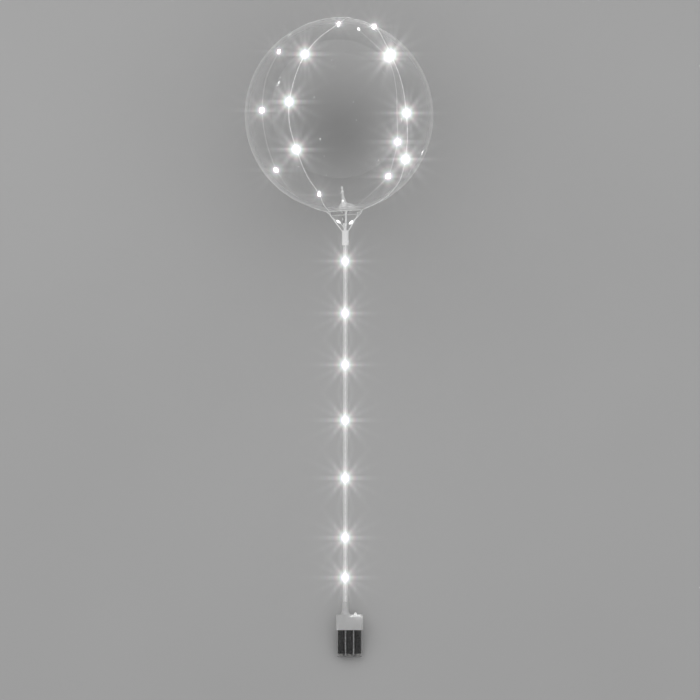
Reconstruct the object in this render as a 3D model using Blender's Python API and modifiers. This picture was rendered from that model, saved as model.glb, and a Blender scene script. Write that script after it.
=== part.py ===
"""A clear film balloon in a ribbed cup on a hollow stick, wound with a wire string of small lamps, over a
battery case with three cells. It is modelled upright, with the stick along +Z and its front towards -Y,
under an empty that lays it down on the floor with +Y from the case to the balloon. Metres, +Z up."""

import math

import bmesh
import bpy
from mathutils import Matrix, Vector

MM = 0.001
GAP = 0.3 * MM

# Battery cells and the clear tray that holds them
CELL_COUNT = 3
CELL_DIAMETER = 14.2 * MM
CELL_LENGTH = 50.5 * MM
CELL_EDGE = 0.6 * MM
CELL_NUB_DIAMETER = 5.5 * MM
CELL_NUB_HEIGHT = 1.0 * MM
CELL_CLEARANCE = 0.4 * MM
TRAY_WALL = 1.2 * MM
TRAY_WEB = 0.4 * MM
TRAY_FLOOR = 1.5 * MM
TRAY_EDGE = 3.0 * MM
TRAY_EDGE_SEGMENTS = 3
BORE_EDGE_SEGMENTS = 2
TRAY_ROOM_ABOVE_CELLS = 4.9 * MM
SPRING_HEIGHT = 4.5 * MM
SPRING_BASE_DIAMETER = 11.0 * MM
SPRING_SHOULDER_DIAMETER = 9.35 * MM
SPRING_TIP_DIAMETER = 6.0 * MM
SPRING_PLATE = 0.6 * MM
CELL_BORE = CELL_DIAMETER + 2 * CELL_CLEARANCE
CELL_PITCH = CELL_BORE + TRAY_WEB
BARREL_DIAMETER = CELL_BORE + 2 * TRAY_WALL
TRAY_WIDTH = (CELL_COUNT - 1) * CELL_PITCH + BARREL_DIAMETER
CELL_FOOT = TRAY_FLOOR + GAP + SPRING_HEIGHT + GAP
TRAY_HEIGHT = CELL_FOOT + CELL_LENGTH + TRAY_ROOM_ABOVE_CELLS

# Milky head of the case, with the sleeve for the stick
CASE_OFFSET = 8.2 * MM
HEAD_WALL = 1.6 * MM
HEAD_OVERLAP = 10.7 * MM
HEAD_ROOM = 17.2 * MM
HEAD_CORNER = 6.5 * MM
HEAD_EDGE = 2.6 * MM
SLEEVE_HEIGHT = 23.9 * MM
SLEEVE_WALL = 0.9 * MM
SLEEVE_FLARE = 3.8 * MM
SLEEVE_FLARE_HEIGHT = 9.0 * MM
SLEEVE_LEDGE = 1.0 * MM
STRING_HOLE = 7.6 * MM
HEAD_WIDTH = TRAY_WIDTH + 2 * (GAP + HEAD_WALL)
HEAD_DEPTH = BARREL_DIAMETER + 2 * (GAP + HEAD_WALL)
HEAD_FOOT = TRAY_HEIGHT - HEAD_OVERLAP
HEAD_TOP = TRAY_HEIGHT + HEAD_ROOM + HEAD_WALL

# Slide switch on the right shoulder of the case
SWITCH_FROM_STICK = 19.4 * MM
SWITCH_TRAVEL = 3.0 * MM
SWITCH_CLEARANCE = 0.4 * MM
KNOB_WIDTH = 6.6 * MM
KNOB_TIP = 2.2 * MM
KNOB_HEIGHT = 3.4 * MM
KNOB_DEPTH = 5.0 * MM
STEM_WIDTH = 3.6 * MM
STEM_DEPTH = 3.2 * MM
SWITCH_BODY_WIDTH = 11.0 * MM
SWITCH_BODY_DEPTH = 6.0 * MM
SWITCH_BODY_HEIGHT = 5.5 * MM

# Stick
STICK_DIAMETER = 10.0 * MM
STICK_WALL = 0.8 * MM
STICK_LENGTH = 724.0 * MM
STICK_FOOT = HEAD_TOP + SLEEVE_LEDGE + GAP
STICK_TOP = STICK_FOOT + STICK_LENGTH
SEAT_BORE = STICK_DIAMETER + 2 * GAP

# Cup: a socket on the stick, then a bowl of ribs that leans to the left with the balloon
SOCKET_LENGTH = 28.0 * MM
SOCKET_WALL = 1.0 * MM
SOCKET_LEDGE = 4.0 * MM
BOWL_LEAN = math.radians(3.1)
BOWL_HEIGHT = 38.5 * MM
BOWL_WALL = 1.4 * MM
BAND_HEIGHT = 9.7 * MM
RIM_DIAMETER = 65.0 * MM
HOOP_DIAMETER = 55.2 * MM
BEAD = 0.9 * MM
RIB_COUNT = 4
RIB_WIDTH = 3.2 * MM
WINDOW_SILL = 2.88 * MM
FIRST_RIB = math.radians(7)
BOWL_FOOT_OVERLAP = 2.0 * MM
SOCKET_RADIUS = SEAT_BORE / 2 + SOCKET_WALL
BOWL_BASE = STICK_TOP + GAP + SOCKET_LEDGE

# Balloon: a film ball slightly taller than wide, its gathered neck down in the cup
BALLOON_DIAMETER = 358.0 * MM
BALLOON_HEIGHT = 367.0 * MM
BALLOON_FLAT = 1.2 * MM
# The gathered neck, as (depth under the ball, radius), with its tie at the narrowest
NECK_SHAPE = [
    (0.5 * MM, 11.0 * MM), (3.5 * MM, 6.0 * MM), (9.9 * MM, 4.5 * MM), (14.3 * MM, 3.0 * MM),
    (19.8 * MM, 4.5 * MM), (22.0 * MM, 4.05 * MM),
]

# Lamp string
WIRE_DIAMETER = 1.6 * MM
WIRE_SAG = 0.35 * MM
LAMP_DIAMETER = 4.4 * MM
# A lamp's drop of resin, as (distance along the wire, radius)
LAMP_SHAPE = [
    (-4.5 * MM, 0.8 * MM), (-2.88 * MM, 1.87 * MM), (0.0, 2.2 * MM), (2.88 * MM, 1.87 * MM),
    (4.5 * MM, 0.8 * MM),
]
CLEAR_OF_LAMPS = 7.2 * MM
LAMP_RAMP = 14.0 * MM
CROSSING_RAMP = 14.0 * MM
STRAIGHT_IN_STICK = 3.0 * MM
ROUTE_STEP = 2.0 * MM
STATION_SPACING = 21.0 * MM
STICK_LAMPS = [151 * MM, 227 * MM, 340 * MM, 450 * MM, 555 * MM, 653 * MM, 752 * MM]

# The string's route over the film: azimuth from the front towards +X, latitude (degrees), and lamp or not
FIRST_LOOP = [
    (-42, -75.5, False), (-30, -64, False), (-25, -53.9, True), (-28, -37, False), (-29.5, -20, True),
    (-31.5, -5, False), (-31, 8.3, True), (-28, 25, False), (-24, 38.4, True), (-16, 51, False),
    (7, 67.3, True), (75, 81, False), (147.5, 61.7, True), (143, 46.5, False), (138, 34.8, True),
    (140, 15, False), (142, 0, False), (141, -16.9, True), (141, -29, False), (141, -40, True),
    (149, -53.9, False), (157, -68, False), (160, -75.5, True),
]
SECOND_LOOP = [
    (248, -75.5, False), (242, -60, False), (235.4, -44, False), (234, -31.2, True), (233.5, -12, False),
    (234.3, 5.9, True), (236, 26.5, False), (236, 44, True), (246, 59.3, True), (250, 76, False),
    (66, 76, False), (62, 61.7, True), (48, 46, False), (44.7, 35.5, True), (44.5, 16, False),
    (44.7, -1.8, True), (47, -16, False), (50.3, -29.8, True), (58, -45, False), (64, -60, False),
    (69, -75.5, False),
]
# The route past the cup: azimuth in degrees, then distance from the bowl's axis and height over its base
INTO_FIRST_LOOP = [
    (-62, 0.8 * MM, 1 * MM, False), (-62, 5.5 * MM, 9.5 * MM, False), (-62.5, 13.5 * MM, 17.5 * MM, True),
    (-61, 21.5 * MM, 21.5 * MM, False), (-58, 28 * MM, 26 * MM, False), (-54, 33 * MM, 31.5 * MM, False),
    (-48, 37 * MM, 37.5 * MM, False),
]
ROUND_THE_CUP = [
    (164, 37 * MM, 37.5 * MM, False), (170, 33.4 * MM, 33 * MM, False), (183, 31.4 * MM, 30.5 * MM, False),
    (207, 31 * MM, 30 * MM, False), (230, 31.4 * MM, 30.5 * MM, False), (241, 33.4 * MM, 33 * MM, False),
    (246, 37 * MM, 37.5 * MM, False),
]
OUT_OF_SECOND_LOOP = [
    (71, 37 * MM, 37.5 * MM, False), (72, 33 * MM, 31.5 * MM, False), (72.5, 28 * MM, 26 * MM, False),
    (72.5, 21.5 * MM, 21 * MM, False), (72.5, 12.5 * MM, 14.5 * MM, True), (72.5, 8.3 * MM, 11 * MM, False),
]
# The route inside the case head, from the stick's axis: x, y, and height over the tray
INSIDE_HEAD = [
    (29 * MM, -5.6 * MM, 6.0 * MM, False), (23 * MM, -6.2 * MM, 10.4 * MM, True),
    (14 * MM, -6.0 * MM, 10.6 * MM, False), (6 * MM, -4.0 * MM, 9.6 * MM, False),
    (1.4 * MM, -1.2 * MM, 12.6 * MM, False), (0.2 * MM, -0.2 * MM, 17.0 * MM, False),
]

ROUND_STEPS = 20
CUP_STEPS = 32
BALLOON_STEPS = 40
BALLOON_RINGS = 22
SMALL_STEPS = 16
CORNER_SEGMENTS = 4
BISECTIONS = 60


def empty_scene():
    for item in list(bpy.data.objects):
        bpy.data.objects.remove(item)
    for holder in list(bpy.data.collections):
        bpy.data.collections.remove(holder)


def new_collection(name, shown):
    holder = bpy.data.collections.new(name)
    holder.hide_render = not shown
    bpy.context.scene.collection.children.link(holder)
    return holder


def new_empty(name, holder, parent=None):
    frame = bpy.data.objects.new(name, None)
    frame.parent = parent
    holder.objects.link(frame)
    return frame


def material(name, colour, roughness, metallic=0.0, alpha=1.0, glow=0.0):
    made = bpy.data.materials.new(name)
    made.use_nodes = True
    shader = made.node_tree.nodes["Principled BSDF"]
    shader.inputs["Base Color"].default_value = (*colour, 1)
    shader.inputs["Roughness"].default_value = roughness
    shader.inputs["Metallic"].default_value = metallic
    shader.inputs["Alpha"].default_value = alpha
    shader.inputs["Emission Color"].default_value = (1, 1, 1, 1)
    shader.inputs["Emission Strength"].default_value = glow
    made.diffuse_color = (*colour, alpha)
    return made


def add_piece(name, data, frame, finish):
    """A named piece of the object, under the frame that it is modelled in."""
    made = bpy.data.objects.new(name, data)
    made.parent = frame
    SHOWN.objects.link(made)
    data.materials.append(finish)
    return made


def add_tool(name, data, frame):
    """A shape that only cuts or joins other pieces."""
    made = bpy.data.objects.new(name, data)
    made.parent = frame
    made.hide_render = True
    made.display_type = "WIRE"
    TOOLS.objects.link(made)
    return made


def boolean(piece, tool, operation, solver="EXACT"):
    step = piece.modifiers.new(tool.name, "BOOLEAN")
    step.operation = operation
    step.solver = solver
    step.object = tool


def arc(centre, radius, start, end, segments):
    """Points on an arc in the plane of (distance from the axis, height), angles in degrees."""
    turns = [math.radians(start + (end - start) * i / segments) for i in range(segments + 1)]
    return [(centre[0] + radius * math.cos(t), centre[1] + radius * math.sin(t)) for t in turns]


def profile_mesh(name, profile, closed):
    points = [(max(r, 0.0), 0.0, z) for r, z in profile]
    edges = [(i, i + 1) for i in range(len(points) - 1)]
    if closed:
        edges.append((len(points) - 1, 0))
    mesh = bpy.data.meshes.new(name)
    mesh.from_pydata(points, edges, [])
    return mesh


def turn(thing, steps):
    spin = thing.modifiers.new("Turned", "SCREW")
    spin.steps = steps
    spin.render_steps = steps
    spin.use_merge_vertices = True
    spin.merge_threshold = 0.00001
    spin.use_smooth_shade = True
    return thing


def box_mesh(name, width, depth, bottom, top, side_radius=0.0, top_radius=0.0):
    """A box on the axis, its upright edges and its top edges rounded."""
    shape = bmesh.new()
    bmesh.ops.create_cube(shape, size=1)
    bmesh.ops.scale(shape, vec=(width, depth, top - bottom), verts=shape.verts)
    bmesh.ops.translate(shape, vec=(0, 0, (top + bottom) / 2), verts=shape.verts)
    if side_radius:
        sides = [e for e in shape.edges if abs(e.verts[0].co.z - e.verts[1].co.z) > (top - bottom) / 2]
        bmesh.ops.bevel(
            shape, geom=sides, offset=side_radius, segments=CORNER_SEGMENTS, profile=0.5, affect="EDGES"
        )
    if top_radius:
        level = max(v.co.z for v in shape.verts)
        brim = [e for e in shape.edges if all(abs(v.co.z - level) < GAP / 10 for v in e.verts)]
        bmesh.ops.bevel(
            shape, geom=brim, offset=top_radius, segments=CORNER_SEGMENTS, profile=0.5, affect="EDGES"
        )
    mesh = bpy.data.meshes.new(name)
    shape.to_mesh(mesh)
    shape.free()
    return mesh


def moved(mesh, x, y=0.0, z=0.0):
    mesh.transform(Matrix.Translation((x, y, z)))
    return mesh


# Battery case

def cell_x(index):
    return CASE_OFFSET + (index - (CELL_COUNT - 1) / 2) * CELL_PITCH


def cell_profile():
    radius, nub = CELL_DIAMETER / 2, CELL_NUB_DIAMETER / 2
    foot, shoulder = CELL_FOOT, CELL_FOOT + CELL_LENGTH - CELL_NUB_HEIGHT
    top = shoulder + CELL_NUB_HEIGHT
    return [
        (0, top), (nub, top), (nub, shoulder), (radius - CELL_EDGE, shoulder), (radius, shoulder - CELL_EDGE),
        (radius, foot + CELL_EDGE), (radius - CELL_EDGE, foot), (0, foot),
    ]


def spring_profile():
    base, shoulder, tip = SPRING_BASE_DIAMETER / 2, SPRING_SHOULDER_DIAMETER / 2, SPRING_TIP_DIAMETER / 2
    foot = TRAY_FLOOR + GAP
    return [
        (0, foot + SPRING_HEIGHT), (tip, foot + SPRING_HEIGHT), (shoulder, foot + SPRING_PLATE),
        (base, foot + SPRING_PLATE), (base, foot), (0, foot),
    ]


def barrel_profile(top):
    radius = BARREL_DIAMETER / 2
    rounding = arc((radius - TRAY_EDGE, TRAY_EDGE), TRAY_EDGE, 0, -90, TRAY_EDGE_SEGMENTS)
    return [(0, top), (radius, top), *rounding, (0, 0)]


def bore_profile():
    radius, above = CELL_BORE / 2, TRAY_HEIGHT + 2 * CELL_COUNT * TRAY_WALL
    rounding = arc((radius - TRAY_WALL, TRAY_FLOOR + TRAY_WALL), TRAY_WALL, 0, -90, BORE_EDGE_SEGMENTS)
    return [(0, above), (radius, above), *rounding, (0, TRAY_FLOOR)]


def make_cells(frame, black, steel):
    for index, side in enumerate(("left", "middle", "right")):
        cell = add_piece(f"battery_{side}", profile_mesh("battery", cell_profile(), False), frame, black)
        spring = add_piece(f"spring_{side}", profile_mesh("spring", spring_profile(), False), frame, steel)
        for thing in (cell, spring):
            turn(thing, SMALL_STEPS).location.x = cell_x(index)


def make_tray(frame, finish):
    """Three joined barrels, each a little taller than the last, bored out and then trimmed level."""
    middle = CELL_COUNT // 2
    barrels = [
        profile_mesh(f"barrel {i}", barrel_profile(TRAY_HEIGHT + (i + 1) * TRAY_WALL), False)
        for i in range(CELL_COUNT)
    ]
    tray = add_piece("battery_tray", barrels[middle], frame, finish)
    tray.location.x = cell_x(middle)
    turn(tray, ROUND_STEPS)
    for index in [i for i in range(CELL_COUNT) if i != middle]:
        tool = turn(add_tool(f"barrel_{index}", barrels[index], frame), ROUND_STEPS)
        tool.location.x = cell_x(index)
        boolean(tray, tool, "UNION", "MANIFOLD")
    for index in range(CELL_COUNT):
        bore = profile_mesh("bore", bore_profile(), False)
        tool = turn(add_tool(f"bore_{index}", bore, frame), ROUND_STEPS)
        tool.location.x = cell_x(index)
        boolean(tray, tool, "DIFFERENCE", "MANIFOLD")
    above = box_mesh("trim", 2 * TRAY_WIDTH, 2 * TRAY_WIDTH, TRAY_HEIGHT, 2 * TRAY_HEIGHT)
    boolean(tray, add_tool("trim", moved(above, CASE_OFFSET), frame), "DIFFERENCE", "MANIFOLD")


def sleeve_profile():
    radius = SEAT_BORE / 2 + SLEEVE_WALL
    flare = [
        (radius + SLEEVE_FLARE * (1 - math.cos(t)), HEAD_TOP + SLEEVE_FLARE_HEIGHT * (1 - math.sin(t)))
        for t in (math.pi / 2 * i / CORNER_SEGMENTS for i in range(CORNER_SEGMENTS + 1))
    ]
    top, foot = HEAD_TOP + SLEEVE_HEIGHT, HEAD_TOP - HEAD_WALL
    return [(0, top), (radius, top), *flare, (flare[-1][0], foot), (0, foot)]


def make_head(frame, finish):
    outer = box_mesh("case_head", HEAD_WIDTH, HEAD_DEPTH, HEAD_FOOT, HEAD_TOP, HEAD_CORNER, HEAD_EDGE)
    head = add_piece("case_head", moved(outer, CASE_OFFSET), frame, finish)
    sleeve = turn(add_tool("sleeve", profile_mesh("sleeve", sleeve_profile(), False), frame), ROUND_STEPS)
    boolean(head, sleeve, "UNION")
    hollow = box_mesh(
        "hollow", HEAD_WIDTH - 2 * HEAD_WALL, HEAD_DEPTH - 2 * HEAD_WALL, HEAD_FOOT - HEAD_WALL,
        HEAD_TOP - HEAD_WALL, HEAD_CORNER - HEAD_WALL, HEAD_EDGE - HEAD_WALL,
    )
    boolean(head, add_tool("hollow", moved(hollow, CASE_OFFSET), frame), "DIFFERENCE")
    seat = [
        (0, HEAD_TOP + 2 * SLEEVE_HEIGHT), (SEAT_BORE / 2, HEAD_TOP + 2 * SLEEVE_HEIGHT),
        (SEAT_BORE / 2, HEAD_TOP + SLEEVE_LEDGE), (STRING_HOLE / 2, HEAD_TOP + SLEEVE_LEDGE),
        (STRING_HOLE / 2, HEAD_TOP - 2 * HEAD_WALL), (0, HEAD_TOP - 2 * HEAD_WALL),
    ]
    boolean(head, turn(add_tool("seat", profile_mesh("seat", seat, False), frame), ROUND_STEPS), "DIFFERENCE")
    slot = box_mesh(
        "slot", STEM_WIDTH + SWITCH_TRAVEL + 2 * SWITCH_CLEARANCE, STEM_DEPTH + 2 * SWITCH_CLEARANCE,
        HEAD_TOP - 2 * HEAD_WALL, HEAD_TOP + HEAD_WALL,
    )
    centre = SWITCH_FROM_STICK + SWITCH_TRAVEL / 2
    boolean(head, add_tool("slot", moved(slot, centre), frame), "DIFFERENCE")


def make_switch(frame, white, dark):
    """A peaked knob on a stem through the slot, over the switch inside the head."""
    under = HEAD_TOP - HEAD_WALL - GAP
    body = box_mesh(
        "switch_body", SWITCH_BODY_WIDTH, SWITCH_BODY_DEPTH, under - SWITCH_BODY_HEIGHT, under
    )
    add_piece("switch_body", moved(body, SWITCH_FROM_STICK + SWITCH_TRAVEL / 2), frame, dark)
    knob = box_mesh("switch_knob", KNOB_WIDTH, KNOB_DEPTH, HEAD_TOP + GAP, HEAD_TOP + GAP + KNOB_HEIGHT)
    middle = HEAD_TOP + GAP + KNOB_HEIGHT / 2
    for corner in knob.vertices:
        if corner.co.z > middle:
            corner.co.x *= KNOB_TIP / KNOB_WIDTH
    piece = add_piece("switch_knob", knob, frame, white)
    piece.location.x = SWITCH_FROM_STICK
    stem = box_mesh("stem", STEM_WIDTH, STEM_DEPTH, under + GAP, middle)
    tool = add_tool("stem", stem, frame)
    tool.location.x = SWITCH_FROM_STICK
    boolean(piece, tool, "UNION")


# Stick and cup

def make_stick(frame, finish):
    outer, inner = STICK_DIAMETER / 2, STICK_DIAMETER / 2 - STICK_WALL
    ring = [(outer, STICK_TOP), (outer, STICK_FOOT), (inner, STICK_FOOT), (inner, STICK_TOP)]
    turn(add_piece("stick", profile_mesh("stick", ring, True), frame, finish), ROUND_STEPS)


def bowl_profile():
    """Down the bowl's outer side, with a bead at the rim and one at the hoop, and up its inner side."""
    rim, hoop = RIM_DIAMETER / 2, HOOP_DIAMETER / 2
    hoop_height = BOWL_HEIGHT - BAND_HEIGHT
    slope = (rim - hoop) / BAND_HEIGHT
    return [
        (rim - BOWL_WALL, BOWL_HEIGHT), (rim, BOWL_HEIGHT), (rim, BOWL_HEIGHT - 2 * BEAD),
        (rim - BEAD - 3 * BEAD * slope, BOWL_HEIGHT - 3 * BEAD),
        (hoop - BEAD + 2 * BEAD * slope, hoop_height + 2 * BEAD), (hoop, hoop_height + BEAD),
        (hoop, hoop_height - BEAD), (SOCKET_RADIUS, 0), (SOCKET_RADIUS, -BOWL_FOOT_OVERLAP),
        (SOCKET_RADIUS - BOWL_WALL, -BOWL_FOOT_OVERLAP), (SOCKET_RADIUS - BOWL_WALL, 0),
        (hoop - BEAD - BOWL_WALL, hoop_height), (rim - BEAD - BOWL_WALL, BOWL_HEIGHT - 2 * BEAD),
    ]


def window_mesh(index):
    """The open sector between two ribs, below the hoop."""
    half = math.pi / RIB_COUNT
    apex = RIB_WIDTH / 2 / math.sin(half)
    reach = RIM_DIAMETER
    low, high = WINDOW_SILL, BOWL_HEIGHT - BAND_HEIGHT - BEAD
    shape = bmesh.new()
    corners = [
        shape.verts.new((x, y, low))
        for x, y in ((apex, 0), (reach, -reach * math.tan(half)), (reach, reach * math.tan(half)))
    ]
    grown = bmesh.ops.extrude_face_region(shape, geom=[shape.faces.new(corners)])
    lifted = [v for v in grown["geom"] if isinstance(v, bmesh.types.BMVert)]
    bmesh.ops.translate(shape, vec=(0, 0, high - low), verts=lifted)
    bmesh.ops.recalc_face_normals(shape, faces=shape.faces)
    middle = FIRST_RIB + (index + 0.5) * 2 * half - math.pi / 2
    bmesh.ops.rotate(shape, cent=(0, 0, 0), matrix=Matrix.Rotation(middle, 3, "Z"), verts=shape.verts)
    mesh = bpy.data.meshes.new(f"window {index}")
    shape.to_mesh(mesh)
    shape.free()
    return mesh


def make_cup(frame, leaning, finish):
    bowl = profile_mesh("balloon_cup", bowl_profile(), True)
    cup = turn(add_piece("balloon_cup", bowl, leaning, finish), CUP_STEPS)
    for index in range(RIB_COUNT):
        boolean(cup, add_tool(f"window_{index}", window_mesh(index), leaning), "DIFFERENCE")
    ledge, foot = STICK_TOP + GAP, BOWL_BASE - SOCKET_LENGTH
    ring = [
        (SOCKET_RADIUS, BOWL_BASE), (SOCKET_RADIUS, foot), (SEAT_BORE / 2, foot), (SEAT_BORE / 2, ledge),
        (STRING_HOLE / 2, ledge), (STRING_HOLE / 2, BOWL_BASE),
    ]
    socket = turn(add_tool("socket", profile_mesh("socket", ring, True), frame), ROUND_STEPS)
    boolean(cup, socket, "UNION")


# Balloon

def balloon_centre_height():
    """Over the bowl's base, with the film one gap clear of the rim's inner lip."""
    lip = RIM_DIAMETER / 2 - BOWL_WALL
    radius, half = BALLOON_DIAMETER / 2 + GAP, BALLOON_HEIGHT / 2 + GAP
    return BOWL_HEIGHT + half * math.sqrt(1 - (lip / radius) ** 2)


def balloon_profile():
    radius, half = BALLOON_DIAMETER / 2, BALLOON_HEIGHT / 2
    turns = [math.radians(90 - 180 * i / BALLOON_RINGS) for i in range(BALLOON_RINGS)]
    ball = [(radius * math.cos(t), half * math.sin(t)) for t in turns]
    neck = [(r, -half - depth) for depth, r in NECK_SHAPE]
    return [(0, half), *ball[1:], *neck, (0, neck[-1][1])]


def make_balloon(leaning, finish):
    mesh = profile_mesh("balloon", balloon_profile(), False)
    balloon = turn(add_piece("balloon", mesh, leaning, finish), BALLOON_STEPS)
    balloon.location.z = balloon_centre_height()
    span = 4 * BALLOON_HEIGHT
    below = box_mesh("floor_cut", span, span, -BALLOON_DIAMETER, 0)
    boolean(balloon, add_tool("floor_cut", below, None), "DIFFERENCE")


# Lamp string

def film_point(azimuth, latitude, height):
    """A point on the film in the balloon's own frame, moved straight out by height."""
    radius, half = BALLOON_DIAMETER / 2, BALLOON_HEIGHT / 2
    side, up = math.radians(azimuth), math.radians(latitude)
    point = Vector((
        radius * math.cos(up) * math.sin(side), -radius * math.cos(up) * math.cos(side), half * math.sin(up)
    ))
    return point + outward(point) * height


def outward(point):
    radius, half = BALLOON_DIAMETER / 2, BALLOON_HEIGHT / 2
    return Vector((point.x / radius**2, point.y / radius**2, point.z / half**2)).normalized()


def clear_of_film(point, height):
    """The point, pushed out where it is nearer to the film than height. Balloon's own frame."""
    radius, half = BALLOON_DIAMETER / 2, BALLOON_HEIGHT / 2
    level = math.sqrt((point.x**2 + point.y**2) / radius**2 + point.z**2 / half**2)
    skin = point / level
    over = (point - skin).length * (1 if level > 1 else -1)
    return skin + outward(skin) * height if over < height else point


def route_stops():
    """The whole route as (point in the leaning frame, lamp, loop number or 0)."""
    upright = leaning_matrix().inverted()
    rest = balloon_centre_height()
    height = WIRE_DIAMETER / 2 + GAP + WIRE_SAG
    stops = [(upright @ Vector((x, y, TRAY_HEIGHT + z)), lamp, 0) for x, y, z, lamp in INSIDE_HEAD]
    stops.append((upright @ Vector((0, 0, STICK_FOOT + STRAIGHT_IN_STICK)), False, 0))
    stops += [(upright @ Vector((0, 0, z)), True, 0) for z in STICK_LAMPS]
    stops.append((upright @ Vector((0, 0, STICK_TOP - STRAIGHT_IN_STICK)), False, 0))
    for number, (before, loop) in enumerate(
        ((INTO_FIRST_LOOP, FIRST_LOOP), (ROUND_THE_CUP, SECOND_LOOP)), 1
    ):
        stops += cup_stops(before)
        for azimuth, latitude, lamp in loop:
            stops.append((film_point(azimuth, latitude, height) + Vector((0, 0, rest)), lamp, number))
    return stops + cup_stops(OUT_OF_SECOND_LOOP)


def cup_stops(rows):
    found = []
    for azimuth, distance, height, lamp in rows:
        side = math.radians(azimuth)
        found.append((Vector((distance * math.sin(side), -distance * math.cos(side), height)), lamp, 0))
    return found


def smooth_route(stops, spacing):
    """Points about spacing apart on one smooth curve through the stops, and the index of each stop."""
    chords = [(b - a).length for a, b in zip(stops, stops[1:])]
    slopes = []
    for i in range(len(stops)):
        low, high = max(i - 1, 0), min(i + 1, len(stops) - 1)
        slopes.append((stops[high] - stops[low]) / sum(chords[low:high]))
    points, marks = [stops[0]], [0]
    for i, chord in enumerate(chords):
        count = max(1, math.ceil(chord / spacing))
        for j in range(1, count + 1):
            t = j / count
            points.append(
                stops[i] * (2 * t**3 - 3 * t**2 + 1) + slopes[i] * chord * (t**3 - 2 * t**2 + t)
                + stops[i + 1] * (3 * t**2 - 2 * t**3) + slopes[i + 1] * chord * (t**3 - t**2)
            )
        marks.append(len(points) - 1)
    return points, marks


def hump(distance, reach):
    return math.cos(math.pi / 2 * distance / reach) ** 2 if abs(distance) < reach else 0.0


def lengths_along(points):
    along = [0.0]
    for a, b in zip(points, points[1:]):
        along.append(along[-1] + (b - a).length)
    return along


def string_stations():
    """(point in the leaning frame, radius) along the string, its lamps as swellings of the wire."""
    stops = route_stops()
    rest = Vector((0, 0, balloon_centre_height()))
    fine, marks = smooth_route([stop[0] for stop in stops], ROUTE_STEP)
    along = lengths_along(fine)
    lamps = [along[mark] for mark, stop in zip(marks, stops) if stop[1]]
    first = [i for i, stop in enumerate(stops) if stop[2] == 1]
    second = [i for i, stop in enumerate(stops) if stop[2] == 2]
    crossed = fine[marks[first[0]] : marks[first[-1]]]
    wire, lamp = WIRE_DIAMETER / 2, LAMP_DIAMETER / 2
    placed = []
    for index, point in enumerate(fine):
        height = wire + GAP + WIRE_SAG
        nearest_lamp = min(abs(along[index] - s) for s in lamps)
        height += (lamp - wire) * hump(nearest_lamp, LAMP_RAMP)
        if marks[second[0]] < index < marks[second[-1]]:
            nearest = min((point - other).length for other in crossed)
            height += (WIRE_DIAMETER + GAP) * hump(nearest, CROSSING_RAMP)
        placed.append(clear_of_film(point - rest, height) + rest)
    along = lengths_along(placed)
    lamps = [along[mark] for mark, stop in zip(marks, stops) if stop[1]]
    stations = [(s + along_wire, radius) for s in lamps for along_wire, radius in LAMP_SHAPE]
    stations += [(0.0, wire), (along[-1], wire)]
    for mark, stop in zip(marks, stops):
        if not stop[1] and min(abs(along[mark] - s) for s, _ in stations) > CLEAR_OF_LAMPS:
            stations.append((along[mark], wire))
    stations.sort()
    return filled(stations, placed, along)


def filled(stations, points, along):
    """The stations with more between them wherever they are over one spacing apart, except in the stick."""
    made = []
    for (s, radius), (s_next, _) in zip(stations, stations[1:] + stations[-1:]):
        made.append((point_at(s, points, along), radius))
        straight = point_at(s, points, along).z < 0
        count = 1 if straight else math.ceil((s_next - s) / STATION_SPACING)
        for j in range(1, count):
            made.append((point_at(s + (s_next - s) * j / count, points, along), WIRE_DIAMETER / 2))
    return made


def point_at(s, points, along):
    low, high = 0, len(along) - 1
    while high - low > 1:
        middle = (low + high) // 2
        if along[middle] <= s:
            low = middle
        else:
            high = middle
    share = (s - along[low]) / (along[high] - along[low])
    return points[low].lerp(points[high], share)


def make_string(frame, finish):
    curve = bpy.data.curves.new("light_string", "CURVE")
    curve.dimensions = "3D"
    curve.bevel_depth = WIRE_DIAMETER / 2
    curve.bevel_resolution = 1
    curve.use_fill_caps = True
    stations = string_stations()
    line = curve.splines.new("POLY")
    line.points.add(len(stations) - 1)
    lean = leaning_matrix()
    for spot, (point, radius) in zip(line.points, stations):
        spot.co = (*(lean @ point), 1)
        spot.radius = radius / (WIRE_DIAMETER / 2)
    add_piece("light_string", curve, frame, finish)


# Lying down

def leaning_matrix():
    return Matrix.Translation((0, 0, BOWL_BASE)) @ Matrix.Rotation(-BOWL_LEAN, 4, "Y")


def lowest_under(tilt):
    """How far the case and the balloon reach under the stick's axis line, lying at this tilt."""
    case = max(r * math.cos(tilt) - z * math.sin(tilt) for r, z in barrel_profile(TRAY_HEIGHT))
    centre = leaning_matrix() @ Vector((0, 0, balloon_centre_height()))
    along_axis = math.sin(tilt) * math.cos(BOWL_LEAN)
    radius, half = BALLOON_DIAMETER / 2, BALLOON_HEIGHT / 2
    ball = math.sqrt(half**2 * along_axis**2 + radius**2 * (1 - along_axis**2))
    return case, ball - BALLOON_FLAT - centre.z * math.sin(tilt)


def lying_tilt():
    """The stick's slope when the case's foot and the balloon both rest on the floor."""
    low, high = 0.0, math.pi / 4
    for _ in range(BISECTIONS):
        middle = (low + high) / 2
        case, ball = lowest_under(middle)
        if ball > case:
            low = middle
        else:
            high = middle
    return (low + high) / 2


def lay_down(frame):
    tilt = lying_tilt()
    frame.rotation_euler.x = tilt - math.pi / 2
    frame.location.z = lowest_under(tilt)[0]


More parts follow.
